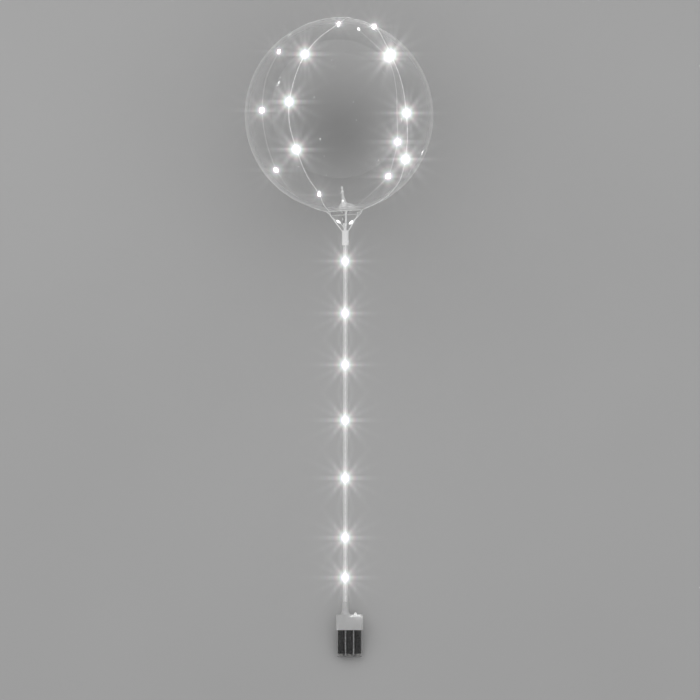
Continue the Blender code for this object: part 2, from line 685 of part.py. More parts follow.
def centre_over_origin(frame):
    """Slides the lying object so that the middle of its outer box stands over the origin."""
    bpy.context.view_layer.update()
    graph = bpy.context.evaluated_depsgraph_get()
    corners = [
        thing.matrix_world @ Vector(corner)
        for thing in SHOWN.objects
        if thing.type != "EMPTY"
        for corner in [v.co for v in thing.evaluated_get(graph).to_mesh().vertices]
    ]
    frame.location.x -= (min(c.x for c in corners) + max(c.x for c in corners)) / 2
    frame.location.y -= (min(c.y for c in corners) + max(c.y for c in corners)) / 2


empty_scene()
SHOWN = new_collection("LED balloon", True)
TOOLS = new_collection("cutters", False)

clear_film = material("clear_film", (0.92, 0.94, 0.95), 0.05, alpha=0.2)
clear_plastic = material("clear_plastic", (0.85, 0.87, 0.88), 0.15, alpha=0.5)
milky_plastic = material("milky_plastic", (0.8, 0.8, 0.8), 0.5, alpha=0.85)
lamp_wire = material("lamp_wire", (0.9, 0.9, 0.88), 0.3, glow=2.0)
cell_black = material("cell_black", (0.02, 0.02, 0.02), 0.3)
spring_steel = material("spring_steel", (0.75, 0.75, 0.73), 0.3, metallic=1.0)
switch_white = material("switch_white", (0.85, 0.85, 0.85), 0.4)
switch_dark = material("switch_dark", (0.05, 0.05, 0.05), 0.5)

lying = new_empty("lying_pose", SHOWN)
lay_down(lying)
bowl_axis = new_empty("bowl_axis", SHOWN, lying)
bowl_axis.matrix_local = leaning_matrix()

make_balloon(bowl_axis, clear_film)
make_cup(lying, bowl_axis, clear_plastic)
make_stick(lying, clear_plastic)
make_string(lying, lamp_wire)
make_head(lying, milky_plastic)
make_tray(lying, clear_plastic)
make_cells(lying, cell_black, spring_steel)
make_switch(lying, switch_white, switch_dark)
centre_over_origin(lying)
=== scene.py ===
"""The looks of a lit balloon on a stick: a clear film ball in a ribbed cup, wound with a wire string of
lamps, over a milky battery case. Shapes are made upright, with the stick along +Z and the front towards
-Y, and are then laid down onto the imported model. Metres."""

import math

import bmesh
import bpy
from mathutils import Matrix, Vector


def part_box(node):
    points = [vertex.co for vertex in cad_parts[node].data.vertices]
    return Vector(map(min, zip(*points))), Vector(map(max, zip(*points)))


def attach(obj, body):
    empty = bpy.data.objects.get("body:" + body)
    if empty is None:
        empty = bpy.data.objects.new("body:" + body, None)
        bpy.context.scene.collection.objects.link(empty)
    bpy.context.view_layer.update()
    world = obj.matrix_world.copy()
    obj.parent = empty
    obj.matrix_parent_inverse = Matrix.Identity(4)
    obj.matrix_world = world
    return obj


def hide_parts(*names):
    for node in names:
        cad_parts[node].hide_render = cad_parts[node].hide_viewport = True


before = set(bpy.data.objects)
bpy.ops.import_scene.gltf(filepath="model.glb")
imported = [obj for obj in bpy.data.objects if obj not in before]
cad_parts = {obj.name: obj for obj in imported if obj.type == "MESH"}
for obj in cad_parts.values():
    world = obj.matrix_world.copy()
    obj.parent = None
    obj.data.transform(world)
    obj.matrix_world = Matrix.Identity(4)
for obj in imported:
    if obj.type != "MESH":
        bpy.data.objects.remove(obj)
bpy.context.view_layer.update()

MM = 0.001
GAP = 0.3 * MM
BODY = "balloon_light"
SWITCH = "switch"

# Battery cells, their contacts and the clear tray
CELL_COUNT = 3
CELL_DIAMETER = 14.2 * MM
CELL_LENGTH = 50.5 * MM
CELL_EDGE = 0.9 * MM
CELL_NUB_DIAMETER = 5.5 * MM
CELL_NUB_HEIGHT = 1.0 * MM
SLEEVE_LIP = 1.6 * MM
SLEEVE_FOLD = 0.2 * MM
CAN_INSET = 0.05 * MM
CAN_DEPTH = 0.3 * MM
CELL_CLEARANCE = 0.4 * MM
TRAY_WALL = 1.2 * MM
TRAY_WEB = 0.4 * MM
TRAY_FLOOR = 1.5 * MM
TRAY_EDGE = 3.0 * MM
TRAY_ROOM_ABOVE_CELLS = 4.9 * MM
WEB_FROM_MIDDLE = 5.8 * MM
WEB_DIAMETER = 3.4 * MM
SPRING_HEIGHT = 4.5 * MM
SPRING_BASE_DIAMETER = 11.0 * MM
SPRING_TIP_DIAMETER = 6.0 * MM
SPRING_PLATE = 0.6 * MM
SPRING_PLATE_WIDTH = 8.8 * MM
SPRING_PLATE_EDGE = 0.2 * MM
SPRING_WIRE = 0.7 * MM
SPRING_TURNS = 4
CELL_BORE = CELL_DIAMETER + 2 * CELL_CLEARANCE
CELL_PITCH = CELL_BORE + TRAY_WEB
BARREL_DIAMETER = CELL_BORE + 2 * TRAY_WALL
TRAY_WIDTH = (CELL_COUNT - 1) * CELL_PITCH + BARREL_DIAMETER
CELL_FOOT = TRAY_FLOOR + GAP + SPRING_HEIGHT + GAP
TRAY_HEIGHT = CELL_FOOT + CELL_LENGTH + TRAY_ROOM_ABOVE_CELLS

# Milky head of the case
CASE_OFFSET = 8.2 * MM
HEAD_WALL = 1.6 * MM
HEAD_OVERLAP = 10.7 * MM
HEAD_ROOM = 17.2 * MM
HEAD_CORNER = 6.5 * MM
HEAD_EDGE = 2.6 * MM
SLEEVE_HEIGHT = 23.9 * MM
SLEEVE_WALL = 0.9 * MM
FLARE_REACH = 5.2 * MM
FLARE_HEIGHT = 11.0 * MM
SLEEVE_LEDGE = 1.0 * MM
STRING_HOLE = 7.6 * MM
HEAD_WIDTH = TRAY_WIDTH + 2 * (GAP + HEAD_WALL)
HEAD_DEPTH = BARREL_DIAMETER + 2 * (GAP + HEAD_WALL)
HEAD_FOOT = TRAY_HEIGHT - HEAD_OVERLAP
HEAD_TOP = TRAY_HEIGHT + HEAD_ROOM + HEAD_WALL

# Slide switch
SWITCH_FROM_STICK = 19.4 * MM
SWITCH_TRAVEL = 3.0 * MM
SWITCH_CLEARANCE = 0.4 * MM
KNOB_WIDTH = 6.6 * MM
KNOB_TIP = 2.2 * MM
KNOB_HEIGHT = 3.4 * MM
KNOB_DEPTH = 5.0 * MM
KNOB_ROUNDING = 0.5 * MM
STEM_WIDTH = 3.6 * MM
STEM_DEPTH = 3.2 * MM
SWITCH_BODY_WIDTH = 11.0 * MM
SWITCH_BODY_DEPTH = 6.0 * MM
SWITCH_BODY_HEIGHT = 5.5 * MM
SWITCH_BODY_EDGE = 0.4 * MM

# Stick
STICK_DIAMETER = 10.0 * MM
STICK_WALL = 0.8 * MM
STICK_LENGTH = 724.0 * MM
STICK_FOOT = HEAD_TOP + SLEEVE_LEDGE + GAP
STICK_TOP = STICK_FOOT + STICK_LENGTH
SEAT_BORE = STICK_DIAMETER + 2 * GAP

# Cup
SOCKET_LENGTH = 28.0 * MM
SOCKET_WALL = 1.0 * MM
SOCKET_LEDGE = 4.0 * MM
BOWL_LEAN = math.radians(3.1)
BOWL_HEIGHT = 38.5 * MM
BOWL_WALL = 1.4 * MM
BAND_HEIGHT = 9.7 * MM
RIM_DIAMETER = 65.0 * MM
HOOP_DIAMETER = 55.2 * MM
BEAD = 0.9 * MM
HOOP_IN_BAND = 0.8 * BEAD
HOOP_ON_RIBS = 0.4 * BEAD
RIB_COUNT = 4
RIB_WIDTH = 3.2 * MM
RIB_DEPTH = 1.25 * BOWL_WALL
RIB_FOOT = -1.5 * MM
RIB_ROUNDING = 0.45 * MM
FIRST_RIB = math.radians(7)
SOCKET_RADIUS = SEAT_BORE / 2 + SOCKET_WALL
BOWL_BASE = STICK_TOP + GAP + SOCKET_LEDGE

# Balloon
BALLOON_DIAMETER = 358.0 * MM
BALLOON_HEIGHT = 367.0 * MM
FILM = 0.3 * MM
FILM_ABOVE_FLOOR = 0.15 * MM
FILM_FOOT_LATITUDE = -87
NECK_SHAPE = [
    (0.5 * MM, 11.0 * MM), (3.5 * MM, 6.0 * MM), (9.9 * MM, 4.5 * MM), (14.3 * MM, 3.0 * MM),
    (19.8 * MM, 4.5 * MM), (22.0 * MM, 4.05 * MM),
]
# The film's pleats round its neck and at its top. Reaches and middles are radians from the pole
NECK_PLEATS = 11
NECK_PLEAT_DEPTH = 3.0 * MM
NECK_PLEAT_REACH = 0.16
NECK_PLEAT_START = 0.05
NECK_FOLD_SHARE = 0.34
TOP_PLEATS = 14
TOP_PLEAT_DEPTH = 1.6 * MM
TOP_PLEAT_MIDDLE = 0.13
TOP_PLEAT_REACH = 0.09
PLEAT_UNEVENNESS = 1.3
# The spike of drawn-in film inside the balloon, as (radius, height over the ball's foot)
SPIKE_HEIGHT = 48.5 * MM
SPIKE_LEAN = 2.2 * MM
SPIKE_SHAPE = [
    (0, SPIKE_HEIGHT), (1.1 * MM, 48 * MM), (1.8 * MM, 46 * MM), (1.5 * MM, 43 * MM), (0.9 * MM, 41 * MM),
    (1.0 * MM, 40 * MM), (2.2 * MM, 38 * MM), (2.2 * MM, 36 * MM), (1.3 * MM, 33 * MM),
    (1.8 * MM, 28 * MM), (2.8 * MM, 22.5 * MM), (3.6 * MM, 18 * MM), (5.0 * MM, 14.5 * MM),
    (11.5 * MM, 10.0 * MM), (13.0 * MM, 3.5 * MM), (12.0 * MM, 1.6 * MM), (0, 1.4 * MM),
]
SPIKE_SPREAD = 13 * MM
SPIKE_FOLDS = 7
SPIKE_FOLD_DEPTH = 0.22
SPIKE_TWIST = 3.2 * MM
FOOT_LOBES = 4
FOOT_LOBE_DEPTH = 0.18
FOOT_STRETCH_RIGHT = 0.55
FOOT_STRETCH_LEFT = -0.4
FOOT_WAVES = 5
FOOT_WAVE_HEIGHT = 2.2 * MM
FOOT_LIFT = 2.4 * MM

# Lamp string
WIRE_DIAMETER = 1.6 * MM
STRAND_DIAMETER = 0.74 * MM
STRAND_TWIST = 34.0 * MM
WIRE_SAG = 0.35 * MM
LAMP_DIAMETER = 4.4 * MM
LAMP_LENGTH = 9.0 * MM
DROP_FULLNESS = 0.75
CORE_WIDTH = 1.6 * MM
CORE_LENGTH = 2.6 * MM
CORE_EDGE = 0.4 * MM
LAMP_RAMP = 14.0 * MM
CROSSING_RAMP = 14.0 * MM
STRAIGHT_IN_STICK = 3.0 * MM
ROUTE_STEP = 2.0 * MM
STICK_LAMPS = [151 * MM, 227 * MM, 340 * MM, 450 * MM, 555 * MM, 653 * MM, 752 * MM]

# The string's route over the film: azimuth from the front towards +X and latitude, both in degrees, and
# whether a lamp sits there
FIRST_LOOP = [
    (-42, -75.5, False), (-30, -64, False), (-25, -53.9, True), (-28, -37, False), (-29.5, -20, True),
    (-31.5, -5, False), (-31, 8.3, True), (-28, 25, False), (-24, 38.4, True), (-16, 51, False),
    (7, 67.3, True), (75, 81, False), (147.5, 61.7, True), (143, 46.5, False), (138, 34.8, True),
    (140, 15, False), (142, 0, False), (141, -16.9, True), (141, -29, False), (141, -40, True),
    (149, -53.9, False), (157, -68, False), (160, -75.5, True),
]
SECOND_LOOP = [
    (248, -75.5, False), (242, -60, False), (235.4, -44, False), (234, -31.2, True), (233.5, -12, False),
    (234.3, 5.9, True), (236, 26.5, False), (236, 44, True), (246, 59.3, True), (250, 76, False),
    (66, 76, False), (62, 61.7, True), (48, 46, False), (44.7, 35.5, True), (44.5, 16, False),
    (44.7, -1.8, True), (47, -16, False), (50.3, -29.8, True), (58, -45, False), (64, -60, False),
    (69, -75.5, False),
]
# The route past the cup: azimuth in degrees, then distance from the bowl's axis and height over its base
INTO_FIRST_LOOP = [
    (-62, 0.8 * MM, 1 * MM, False), (-62, 5.5 * MM, 9.5 * MM, False), (-62.5, 13.5 * MM, 17.5 * MM, True),
    (-61, 21.5 * MM, 21.5 * MM, False), (-58, 28 * MM, 26 * MM, False), (-54, 33 * MM, 31.5 * MM, False),
    (-48, 37 * MM, 37.5 * MM, False),
]
ROUND_THE_CUP = [
    (164, 37 * MM, 37.5 * MM, False), (170, 33.4 * MM, 33 * MM, False),
    (183, 31.4 * MM, 30.5 * MM, False), (207, 31 * MM, 30 * MM, False),
    (230, 31.4 * MM, 30.5 * MM, False), (241, 33.4 * MM, 33 * MM, False),
    (246, 37 * MM, 37.5 * MM, False),
]
OUT_OF_SECOND_LOOP = [
    (71, 37 * MM, 37.5 * MM, False), (72, 33 * MM, 31.5 * MM, False), (72.5, 28 * MM, 26 * MM, False),
    (72.5, 21.5 * MM, 21 * MM, False), (72.5, 12.5 * MM, 14.5 * MM, True),
    (72.5, 8.3 * MM, 11 * MM, False),
]
# The route inside the case head, from the stick's axis: x, y, and height over the tray
INSIDE_HEAD = [
    (29 * MM, -5.6 * MM, 6.0 * MM, False), (23 * MM, -6.2 * MM, 10.4 * MM, True),
    (14 * MM, -6.0 * MM, 10.6 * MM, False), (6 * MM, -4.0 * MM, 9.6 * MM, False),
    (1.4 * MM, -1.2 * MM, 12.6 * MM, False), (0.2 * MM, -0.2 * MM, 17.0 * MM, False),
]

# Camera and lights
PHOTO_SPAN = 1.33
PHOTO_CENTRE = Vector((9.1 * MM, 0, 583.3 * MM))
CAMERA_DISTANCE = 20.0
SENSOR_WIDTH = 36.0
FLOOR_SIZE = 40
FLOOR_DROP = 0.2 * MM
SKY_GREY = 0.85
SKY_STRENGTH = 0.65
LIGHT_AIM = (0, 0.3, 0.1)
# The studio's soft lights: place, width and height, and watts
SOFT_LIGHTS = {
    "key light": ((-1.7, 1.2, 2.0), (1.4, 1.6), 9),
    "fill light": ((1.9, 0.5, 1.9), (1.2, 1.6), 4),
    "back light": ((0.2, 2.2, 1.6), (1.8, 0.9), 2),
}
# The strip light in the case's head that makes its right shoulder bright
SHOULDER_SIZE = (20 * MM, 0.8 * MM)
SHOULDER_WATTS = 0.002
SHOULDER_FROM_FRONT = 2.0 * MM
SHOULDER_UNDER_TOP = 1.2 * MM
SHOULDER_AIM_OVER_TOP = 2.0 * MM
# The camera's glare, one filter after the other
GLARES = [
    ("FOG_GLOW", {"Threshold": 1.5, "Strength": 0.4, "Size": 0.25}),
    ("STREAKS", {"Threshold": 1.5, "Strength": 0.6, "Streaks": 14, "Fade": 0.8, "Iterations": 3}),
    ("STREAKS", {"Threshold": 2.5, "Strength": 0.4, "Streaks": 8, "Fade": 0.7, "Iterations": 2}),
]
# Each kind of lamp: how strongly its resin and its core glow, and the watts of light that it gives
LAMP_KINDS = {
    "near": (5.0, 10.0, 0.0015),
    "far": (6.0, 8.0, 0.0015),
    "faint": (1.8, 2.5, 0.0008),
    "cup": (0.7, 1.4, 0.0001),
    "case": (0.1, 0.2, 0.0001),
}
# Lamps are faint between these shares of the way to a pole, and far from this far behind the axis
FAINT_FROM = 0.76
FAINT_TO = 0.94
FAR_BEHIND = BALLOON_DIAMETER / 10
WHITE = (1, 1, 1, 1)

ROUND_STEPS = 64
SMOOTH_ANGLE = math.radians(32)
ON_AXIS = 1e-9


# Frames

def leaning_matrix():
    return Matrix.Translation((0, 0, BOWL_BASE)) @ Matrix.Rotation(-BOWL_LEAN, 4, "Y")


def lying_matrix():
    """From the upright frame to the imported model's, read off two boxes that any tilt leaves symmetric."""
    stick = sum(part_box("stick"), Vector()) / 2
    switch = sum(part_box("switch_body"), Vector()) / 2
    tilt = math.atan2(stick.z - switch.z, stick.y - switch.y)
    turn = Matrix.Rotation(tilt - math.pi / 2, 4, "X")
    return Matrix.Translation(stick - turn @ Vector((0, 0, STICK_FOOT + STICK_LENGTH / 2))) @ turn


LYING = lying_matrix()
LEANING = LYING @ leaning_matrix()


# Camera

def make_camera():
    data = bpy.data.cameras.new("camera")
    data.sensor_width = SENSOR_WIDTH
    data.lens = SENSOR_WIDTH * CAMERA_DISTANCE / PHOTO_SPAN
    camera = bpy.data.objects.new("camera", data)
    bpy.context.scene.collection.objects.link(camera)
    back = (LYING.to_3x3() @ Vector((0, -1, 0))).normalized()
    camera.rotation_mode = "QUATERNION"
    camera.rotation_quaternion = (-back).to_track_quat("-Z", "Y")
    camera.location = LYING @ PHOTO_CENTRE + back * CAMERA_DISTANCE
    bpy.context.scene.camera = camera


make_camera()


# Materials

def shader_material(name, colour, roughness, **values):
    """A Principled material with these plain values. Returns it with its shader."""
    made = bpy.data.materials.new(name)
    made.use_nodes = True
    shader = made.node_tree.nodes["Principled BSDF"]
    shader.inputs["Base Color"].default_value = (*colour, 1)
    shader.inputs["Roughness"].default_value = roughness
    for key, value in values.items():
        shader.inputs[key.replace("_", " ")].default_value = value
    return made, shader


def node(made, kind, **inputs):
    new = made.node_tree.nodes.new(kind)
    for key, value in inputs.items():
        new.inputs[key.replace("_", " ")].default_value = value
    return new


def grain(made, scale, detail, stretch=(1, 1, 1)):
    """Noise in the object's own coordinates, as the output socket of its factor."""
    place = node(made, "ShaderNodeTexCoord")
    mapping = node(made, "ShaderNodeMapping", Scale=stretch)
    pattern = node(made, "ShaderNodeTexNoise", Scale=scale, Detail=detail)
    made.node_tree.links.new(place.outputs["Object"], mapping.inputs["Vector"])
    made.node_tree.links.new(mapping.outputs["Vector"], pattern.inputs["Vector"])
    return pattern.outputs["Factor"] if "Factor" in pattern.outputs else pattern.outputs["Fac"]


def vary_roughness(made, shader, factor, low, high):
    spread = node(made, "ShaderNodeMapRange", To_Min=low, To_Max=high)
    made.node_tree.links.new(factor, spread.inputs["Value"])
    made.node_tree.links.new(spread.outputs["Result"], shader.inputs["Roughness"])


def vary_colour(made, shader, factor, dark, light):
    ramp = node(made, "ShaderNodeValToRGB")
    ramp.color_ramp.elements[0].position = 0.35
    ramp.color_ramp.elements[0].color = (*dark, 1)
    ramp.color_ramp.elements[1].position = 0.65
    ramp.color_ramp.elements[1].color = (*light, 1)
    made.node_tree.links.new(factor, ramp.inputs["Fac"])
    made.node_tree.links.new(ramp.outputs["Color"], shader.inputs["Base Color"])


def bump(made, shader, factor, depth, strength=1.0):
    relief = node(made, "ShaderNodeBump", Strength=strength, Distance=depth)
    made.node_tree.links.new(factor, relief.inputs["Height"])
    made.node_tree.links.new(relief.outputs["Normal"], shader.inputs["Normal"])


def film_material():
    made, shader = shader_material(
        "clear film", (0.97, 0.97, 0.97), 0.03, Transmission_Weight=1.0, IOR=1.6,
        Sheen_Weight=1.0, Sheen_Roughness=0.42,
    )
    vary_roughness(made, shader, grain(made, 9, 3), 0.01, 0.03)
    bump(made, shader, grain(made, 14, 4), 0.4 * MM, 0.6)
    return made


def gathered_film_material():
    # Its faint white emission is painted light for the lamps' light caught in the gathered film.
    made, shader = shader_material(
        "gathered film", (0.95, 0.95, 0.95), 0.2, Transmission_Weight=0.25, IOR=1.45,
        Sheen_Weight=0.6, Sheen_Roughness=0.3, Emission_Color=WHITE, Emission_Strength=0.15,
    )
    vary_roughness(made, shader, grain(made, 90, 3), 0.12, 0.35)
    bump(made, shader, grain(made, 160, 4), 0.5 * MM)
    return made


def clear_plastic_material(name, **values):
    made, shader = shader_material(
        name, (0.94, 0.94, 0.94), 0.06, Transmission_Weight=0.95, IOR=1.46, **values,
    )
    vary_roughness(made, shader, grain(made, 60, 4), 0.03, 0.14)
    bump(made, shader, grain(made, 220, 3, (1, 1, 0.1)), 0.08 * MM, 0.5)
    return made


def tray_material():
    made, shader = shader_material(
        "tray plastic", (0.96, 0.96, 0.96), 0.05, Transmission_Weight=1.0, IOR=1.33,
    )
    vary_roughness(made, shader, grain(made, 60, 4), 0.03, 0.1)
    bump(made, shader, grain(made, 220, 3, (1, 1, 0.1)), 0.05 * MM, 0.5)
    return made


def frosted_material():
    """The cup's plastic, which is clouded. It is lit a little by its lamps, and a faint white glow is
    painted on for the rest of their light.
    """
    made, shader = shader_material(
        "frosted plastic", (0.95, 0.95, 0.95), 0.25, Transmission_Weight=0.2, IOR=1.46,
        # painted glow: the cup shines white by itself
        Emission_Color=WHITE, Emission_Strength=0.08,
    )
    vary_roughness(made, shader, grain(made, 90, 4), 0.18, 0.34)
    bump(made, shader, grain(made, 300, 3), 0.06 * MM, 0.5)
    return made


def milky_material():
    made, shader = shader_material(
        "milky plastic", (0.92, 0.92, 0.92), 0.4, Transmission_Weight=0.4, IOR=1.45,
        Subsurface_Weight=0.85, Subsurface_Radius=(1, 1, 1), Subsurface_Scale=2.5 * MM,
    )
    vary_colour(made, shader, grain(made, 35, 3), (0.88, 0.88, 0.88), (0.95, 0.95, 0.95))
    vary_roughness(made, shader, grain(made, 120, 3), 0.34, 0.46)
    bump(made, shader, grain(made, 1500, 2), 0.05 * MM, 0.5)
    return made


def wire_material():
    # The faint white emission is painted light for the lamps shining on the wire.
    made, shader = shader_material(
        "insulated wire", (0.9, 0.9, 0.9), 0.25, Coat_Weight=0.6, Coat_Roughness=0.08,
        Emission_Color=WHITE, Emission_Strength=0.15,
    )
    vary_colour(made, shader, grain(made, 500, 2), (0.86, 0.86, 0.86), (0.94, 0.94, 0.94))
    bump(made, shader, grain(made, 900, 2), 0.05 * MM, 0.4)
    return made


def resin_material(name, glow):
    made, shader = shader_material(
        f"lamp resin {name}", (0.96, 0.97, 0.97), 0.08, Transmission_Weight=0.7, IOR=1.5,
        Emission_Color=WHITE, Emission_Strength=glow,
    )
    vary_roughness(made, shader, grain(made, 700, 2), 0.04, 0.15)
    bump(made, shader, grain(made, 800, 2), 0.1 * MM, 0.5)
    made.cycles.emission_sampling = "NONE"
    return made


def lamp_material(name, glow):
    made, shader = shader_material(
        f"lit lamp {name}", (1, 1, 1), 0.4, Emission_Color=WHITE, Emission_Strength=glow,
    )
    made.cycles.emission_sampling = "NONE"
    return made


def cell_material():
    made, shader = shader_material(
        "black sleeve", (0.008, 0.008, 0.008), 0.1, Specular_IOR_Level=0.3,
    )
    mottle = grain(made, 90, 4, (1, 1, 0.3))
    vary_colour(made, shader, mottle, (0.005, 0.005, 0.005), (0.012, 0.012, 0.012))
    vary_roughness(made, shader, grain(made, 160, 4), 0.06, 0.14)
    bump(made, shader, grain(made, 700, 3), 0.05 * MM, 0.4)
    return made


def steel_material():
    made, shader = shader_material("plated steel", (0.74, 0.73, 0.71), 0.25, Metallic=1.0)
    vary_colour(made, shader, grain(made, 260, 3), (0.62, 0.61, 0.59), (0.8, 0.79, 0.77))
    vary_roughness(made, shader, grain(made, 600, 3, (1, 1, 8)), 0.18, 0.36)
    bump(made, shader, grain(made, 1400, 2), 0.03 * MM, 0.4)
    return made


def moulded_material(name, dark, light, low, high, **values):
    made, shader = shader_material(name, light, (low + high) / 2, **values)
    vary_colour(made, shader, grain(made, 150, 3), dark, light)
    vary_roughness(made, shader, grain(made, 400, 3), low, high)
    bump(made, shader, grain(made, 1800, 2), 0.04 * MM, 0.5)
    return made


def floor_material():
    made, shader = shader_material("pale floor", (0.52, 0.52, 0.52), 0.7)
    vary_colour(made, shader, grain(made, 1.5, 5), (0.51, 0.51, 0.51), (0.53, 0.53, 0.53))
    vary_roughness(made, shader, grain(made, 6, 3), 0.65, 0.8)
    return made


FILM_LOOK = film_material()
GATHER_LOOK = gathered_film_material()
CLEAR_LOOK = clear_plastic_material("clear plastic")
# The stick's faint white emission is painted light for the lamps' light carried along its wall.
STICK_PAINTED_GLOW_LOOK = clear_plastic_material("stick with painted glow", Emission_Color=WHITE, Emission_Strength=0.04)
TRAY_LOOK = tray_material()
FROSTED_PAINTED_GLOW_LOOK = frosted_material()
MILKY_LOOK = milky_material()
WIRE_LOOK = wire_material()
RESIN_LOOKS = {name: resin_material(name, values[0]) for name, values in LAMP_KINDS.items()}
LAMP_LOOKS = {name: lamp_material(name, values[1]) for name, values in LAMP_KINDS.items()}
CELL_LOOK = cell_material()
STEEL_LOOK = steel_material()
# The switch's emission of 0.35 is a painted highlight: the knob shines white by itself.
WHITE_LOOK = moulded_material(
    "white switch", (0.8, 0.8, 0.79), (0.9, 0.9, 0.89), 0.3, 0.5, Emission_Strength=0.35,
)
# The webs' mid grey is painted light for the brighter lines between the cells.
WEB_LOOK = moulded_material(
    "tray webs", (0.5, 0.5, 0.5), (0.6, 0.6, 0.6), 0.2, 0.35, Transmission_Weight=0.5,
)
DARK_LOOK = moulded_material("dark switch", (0.03, 0.03, 0.03), (0.06, 0.06, 0.06), 0.4, 0.6)


# Mesh helpers

def lathe(profile, steps=ROUND_STEPS, closed=False, shift=0.0):
    """A shape turned from (radius, height) down its outer side. closed joins the last to the first."""
    shape = bmesh.new()
    rings = []
    for radius, height in profile:
        if radius < ON_AXIS:
            rings.append([shape.verts.new((shift, 0, height))])
            continue
        turns = [2 * math.pi * i / steps for i in range(steps)]
        rings.append([
            shape.verts.new((shift + radius * math.cos(t), radius * math.sin(t), height)) for t in turns
        ])
    join_rings(shape, rings, closed)
    return shape


def join_rings(shape, rings, closed=False):
    """Faces between each ring of points and the next. A ring of one point is a pole."""
    for upper, lower in zip(rings, rings[1:] + (rings[:1] if closed else [])):
        steps = max(len(upper), len(lower))
        for i in range(steps):
            j = (i + 1) % steps
            corners = [
                upper[i % len(upper)], lower[i % len(lower)], lower[j % len(lower)], upper[j % len(upper)]
            ]
            corners = list(dict.fromkeys(corners))
            if len(corners) > 2:
                shape.faces.new(corners)


def arc(centre, radius, start, end, segments):
    """Points on an arc in the plane of (distance from the axis, height), angles in degrees."""
    turns = [math.radians(start + (end - start) * i / segments) for i in range(segments + 1)]
    return [(centre[0] + radius * math.cos(t), centre[1] + radius * math.sin(t)) for t in turns]


def block(width, depth, bottom, top, rounding=0.0, segments=4, x=0.0):
    """A box on the axis, all its edges rounded."""
    shape = bmesh.new()
    bmesh.ops.create_cube(shape, size=1)
    bmesh.ops.scale(shape, vec=(width, depth, top - bottom), verts=shape.verts)
    bmesh.ops.translate(shape, vec=(x, 0, (top + bottom) / 2), verts=shape.verts)
    if rounding:
        bevel(shape, shape.edges[:], rounding, segments)
    return shape


def bevel(shape, edges, rounding, segments):
    bmesh.ops.bevel(
        shape, geom=edges, offset=rounding, segments=segments, profile=0.5, affect="EDGES",
        clamp_overlap=True,
    )


def case_block(width, depth, bottom, top, corner, edge, segments=8):
    """A box over the case's middle, its upright edges and its top edges rounded."""
    shape = block(width, depth, bottom, top, x=CASE_OFFSET)
    half = (top - bottom) / 2
    upright = [e for e in shape.edges if abs(e.verts[0].co.z - e.verts[1].co.z) > half]
    bevel(shape, upright, corner, segments)
    brim = [e for e in shape.edges if all(abs(v.co.z - top) < GAP / 10 for v in e.verts)]
    bevel(shape, brim, edge, segments)
    return shape


def to_mesh(name, shape):
    mesh = bpy.data.meshes.new(name)
    shape.to_mesh(mesh)
    shape.free()
    return mesh


def to_object(name, shape):
    thing = bpy.data.objects.new(name, to_mesh(name, shape))
    bpy.context.scene.collection.objects.link(thing)
    return thing


def combined(name, base, *steps):
    """The mesh of a shape with (operation, tool) steps done in turn."""
    thing = to_object(name, base)
    tools = []
    for number, (operation, tool) in enumerate(steps):
        tools.append(to_object(f"{name} {number}", tool))
        cut = thing.modifiers.new(tools[-1].name, "BOOLEAN")
        cut.operation = operation
        cut.solver = "MANIFOLD"
        cut.object = tools[-1]
    graph = bpy.context.evaluated_depsgraph_get()
    mesh = bpy.data.meshes.new_from_object(thing.evaluated_get(graph))
    for spare in [thing, *tools]:
        bpy.data.objects.remove(spare)
    return mesh


def piece(name, mesh, look, place=LYING, body=BODY, replaces=(), casts_shadow=True):
    mesh.transform(place)
    mesh.name = name
    mesh.materials.clear()
    mesh.materials.append(look)
    mesh.shade_smooth()
    mesh.set_sharp_from_angle(angle=SMOOTH_ANGLE)
    thing = bpy.data.objects.new(name, mesh)
    bpy.context.scene.collection.objects.link(thing)
    thing.visible_shadow = casts_shadow
    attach(thing, body)
    if replaces:
        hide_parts(*replaces)
    return thing


def tube_mesh(name, path, radius, sides=8):
    """A tube along a path of points, its frame carried along without twist, its ends closed."""
    shape = bmesh.new()
    rings = []
    side = (path[1] - path[0]).orthogonal().normalized()
    for index, point in enumerate(path):
        along = (path[min(index + 1, len(path) - 1)] - path[max(index - 1, 0)]).normalized()
        side = (side - along * side.dot(along)).normalized()
        up = along.cross(side)
        turns = [2 * math.pi * i / sides for i in range(sides)]
        rings.append([
            shape.verts.new(point + (side * math.cos(t) + up * math.sin(t)) * radius)
            for t in reversed(turns)
        ])
    join_rings(shape, [[shape.verts.new(path[0])], *rings, [shape.verts.new(path[-1])]])
    bmesh.ops.recalc_face_normals(shape, faces=shape.faces)
    return to_mesh(name, shape)


def joined(name, meshes):
    shape = bmesh.new()
    for mesh in meshes:
        shape.from_mesh(mesh)
        bpy.data.meshes.remove(mesh)
    return to_mesh(name, shape)


# Balloon

def film_point(azimuth, latitude, height):
    """A point on the film in the balloon's own frame, moved straight out by height."""
    radius, half = BALLOON_DIAMETER / 2, BALLOON_HEIGHT / 2
    side, up = math.radians(azimuth), math.radians(latitude)
    point = Vector((
        radius * math.cos(up) * math.sin(side),
        -radius * math.cos(up) * math.cos(side),
        half * math.sin(up),
    ))
    return point + outward(point) * height


def outward(point):
    radius, half = BALLOON_DIAMETER / 2, BALLOON_HEIGHT / 2
    return Vector((point.x / radius**2, point.y / radius**2, point.z / half**2)).normalized()


def balloon_centre_height():
    """Over the bowl's base, with the film one gap clear of the rim's inner lip."""
    lip = RIM_DIAMETER / 2 - BOWL_WALL
    radius, half = BALLOON_DIAMETER / 2 + GAP, BALLOON_HEIGHT / 2 + GAP
    return BOWL_HEIGHT + half * math.sqrt(1 - (lip / radius) ** 2)


def neck_fold(turn, shift=0.0):
    """From 0 to 1 and back at each pleat round the neck, unevenly."""
    return 0.5 - 0.5 * math.cos(NECK_PLEATS * turn + PLEAT_UNEVENNESS * math.sin(3 * turn) + shift)


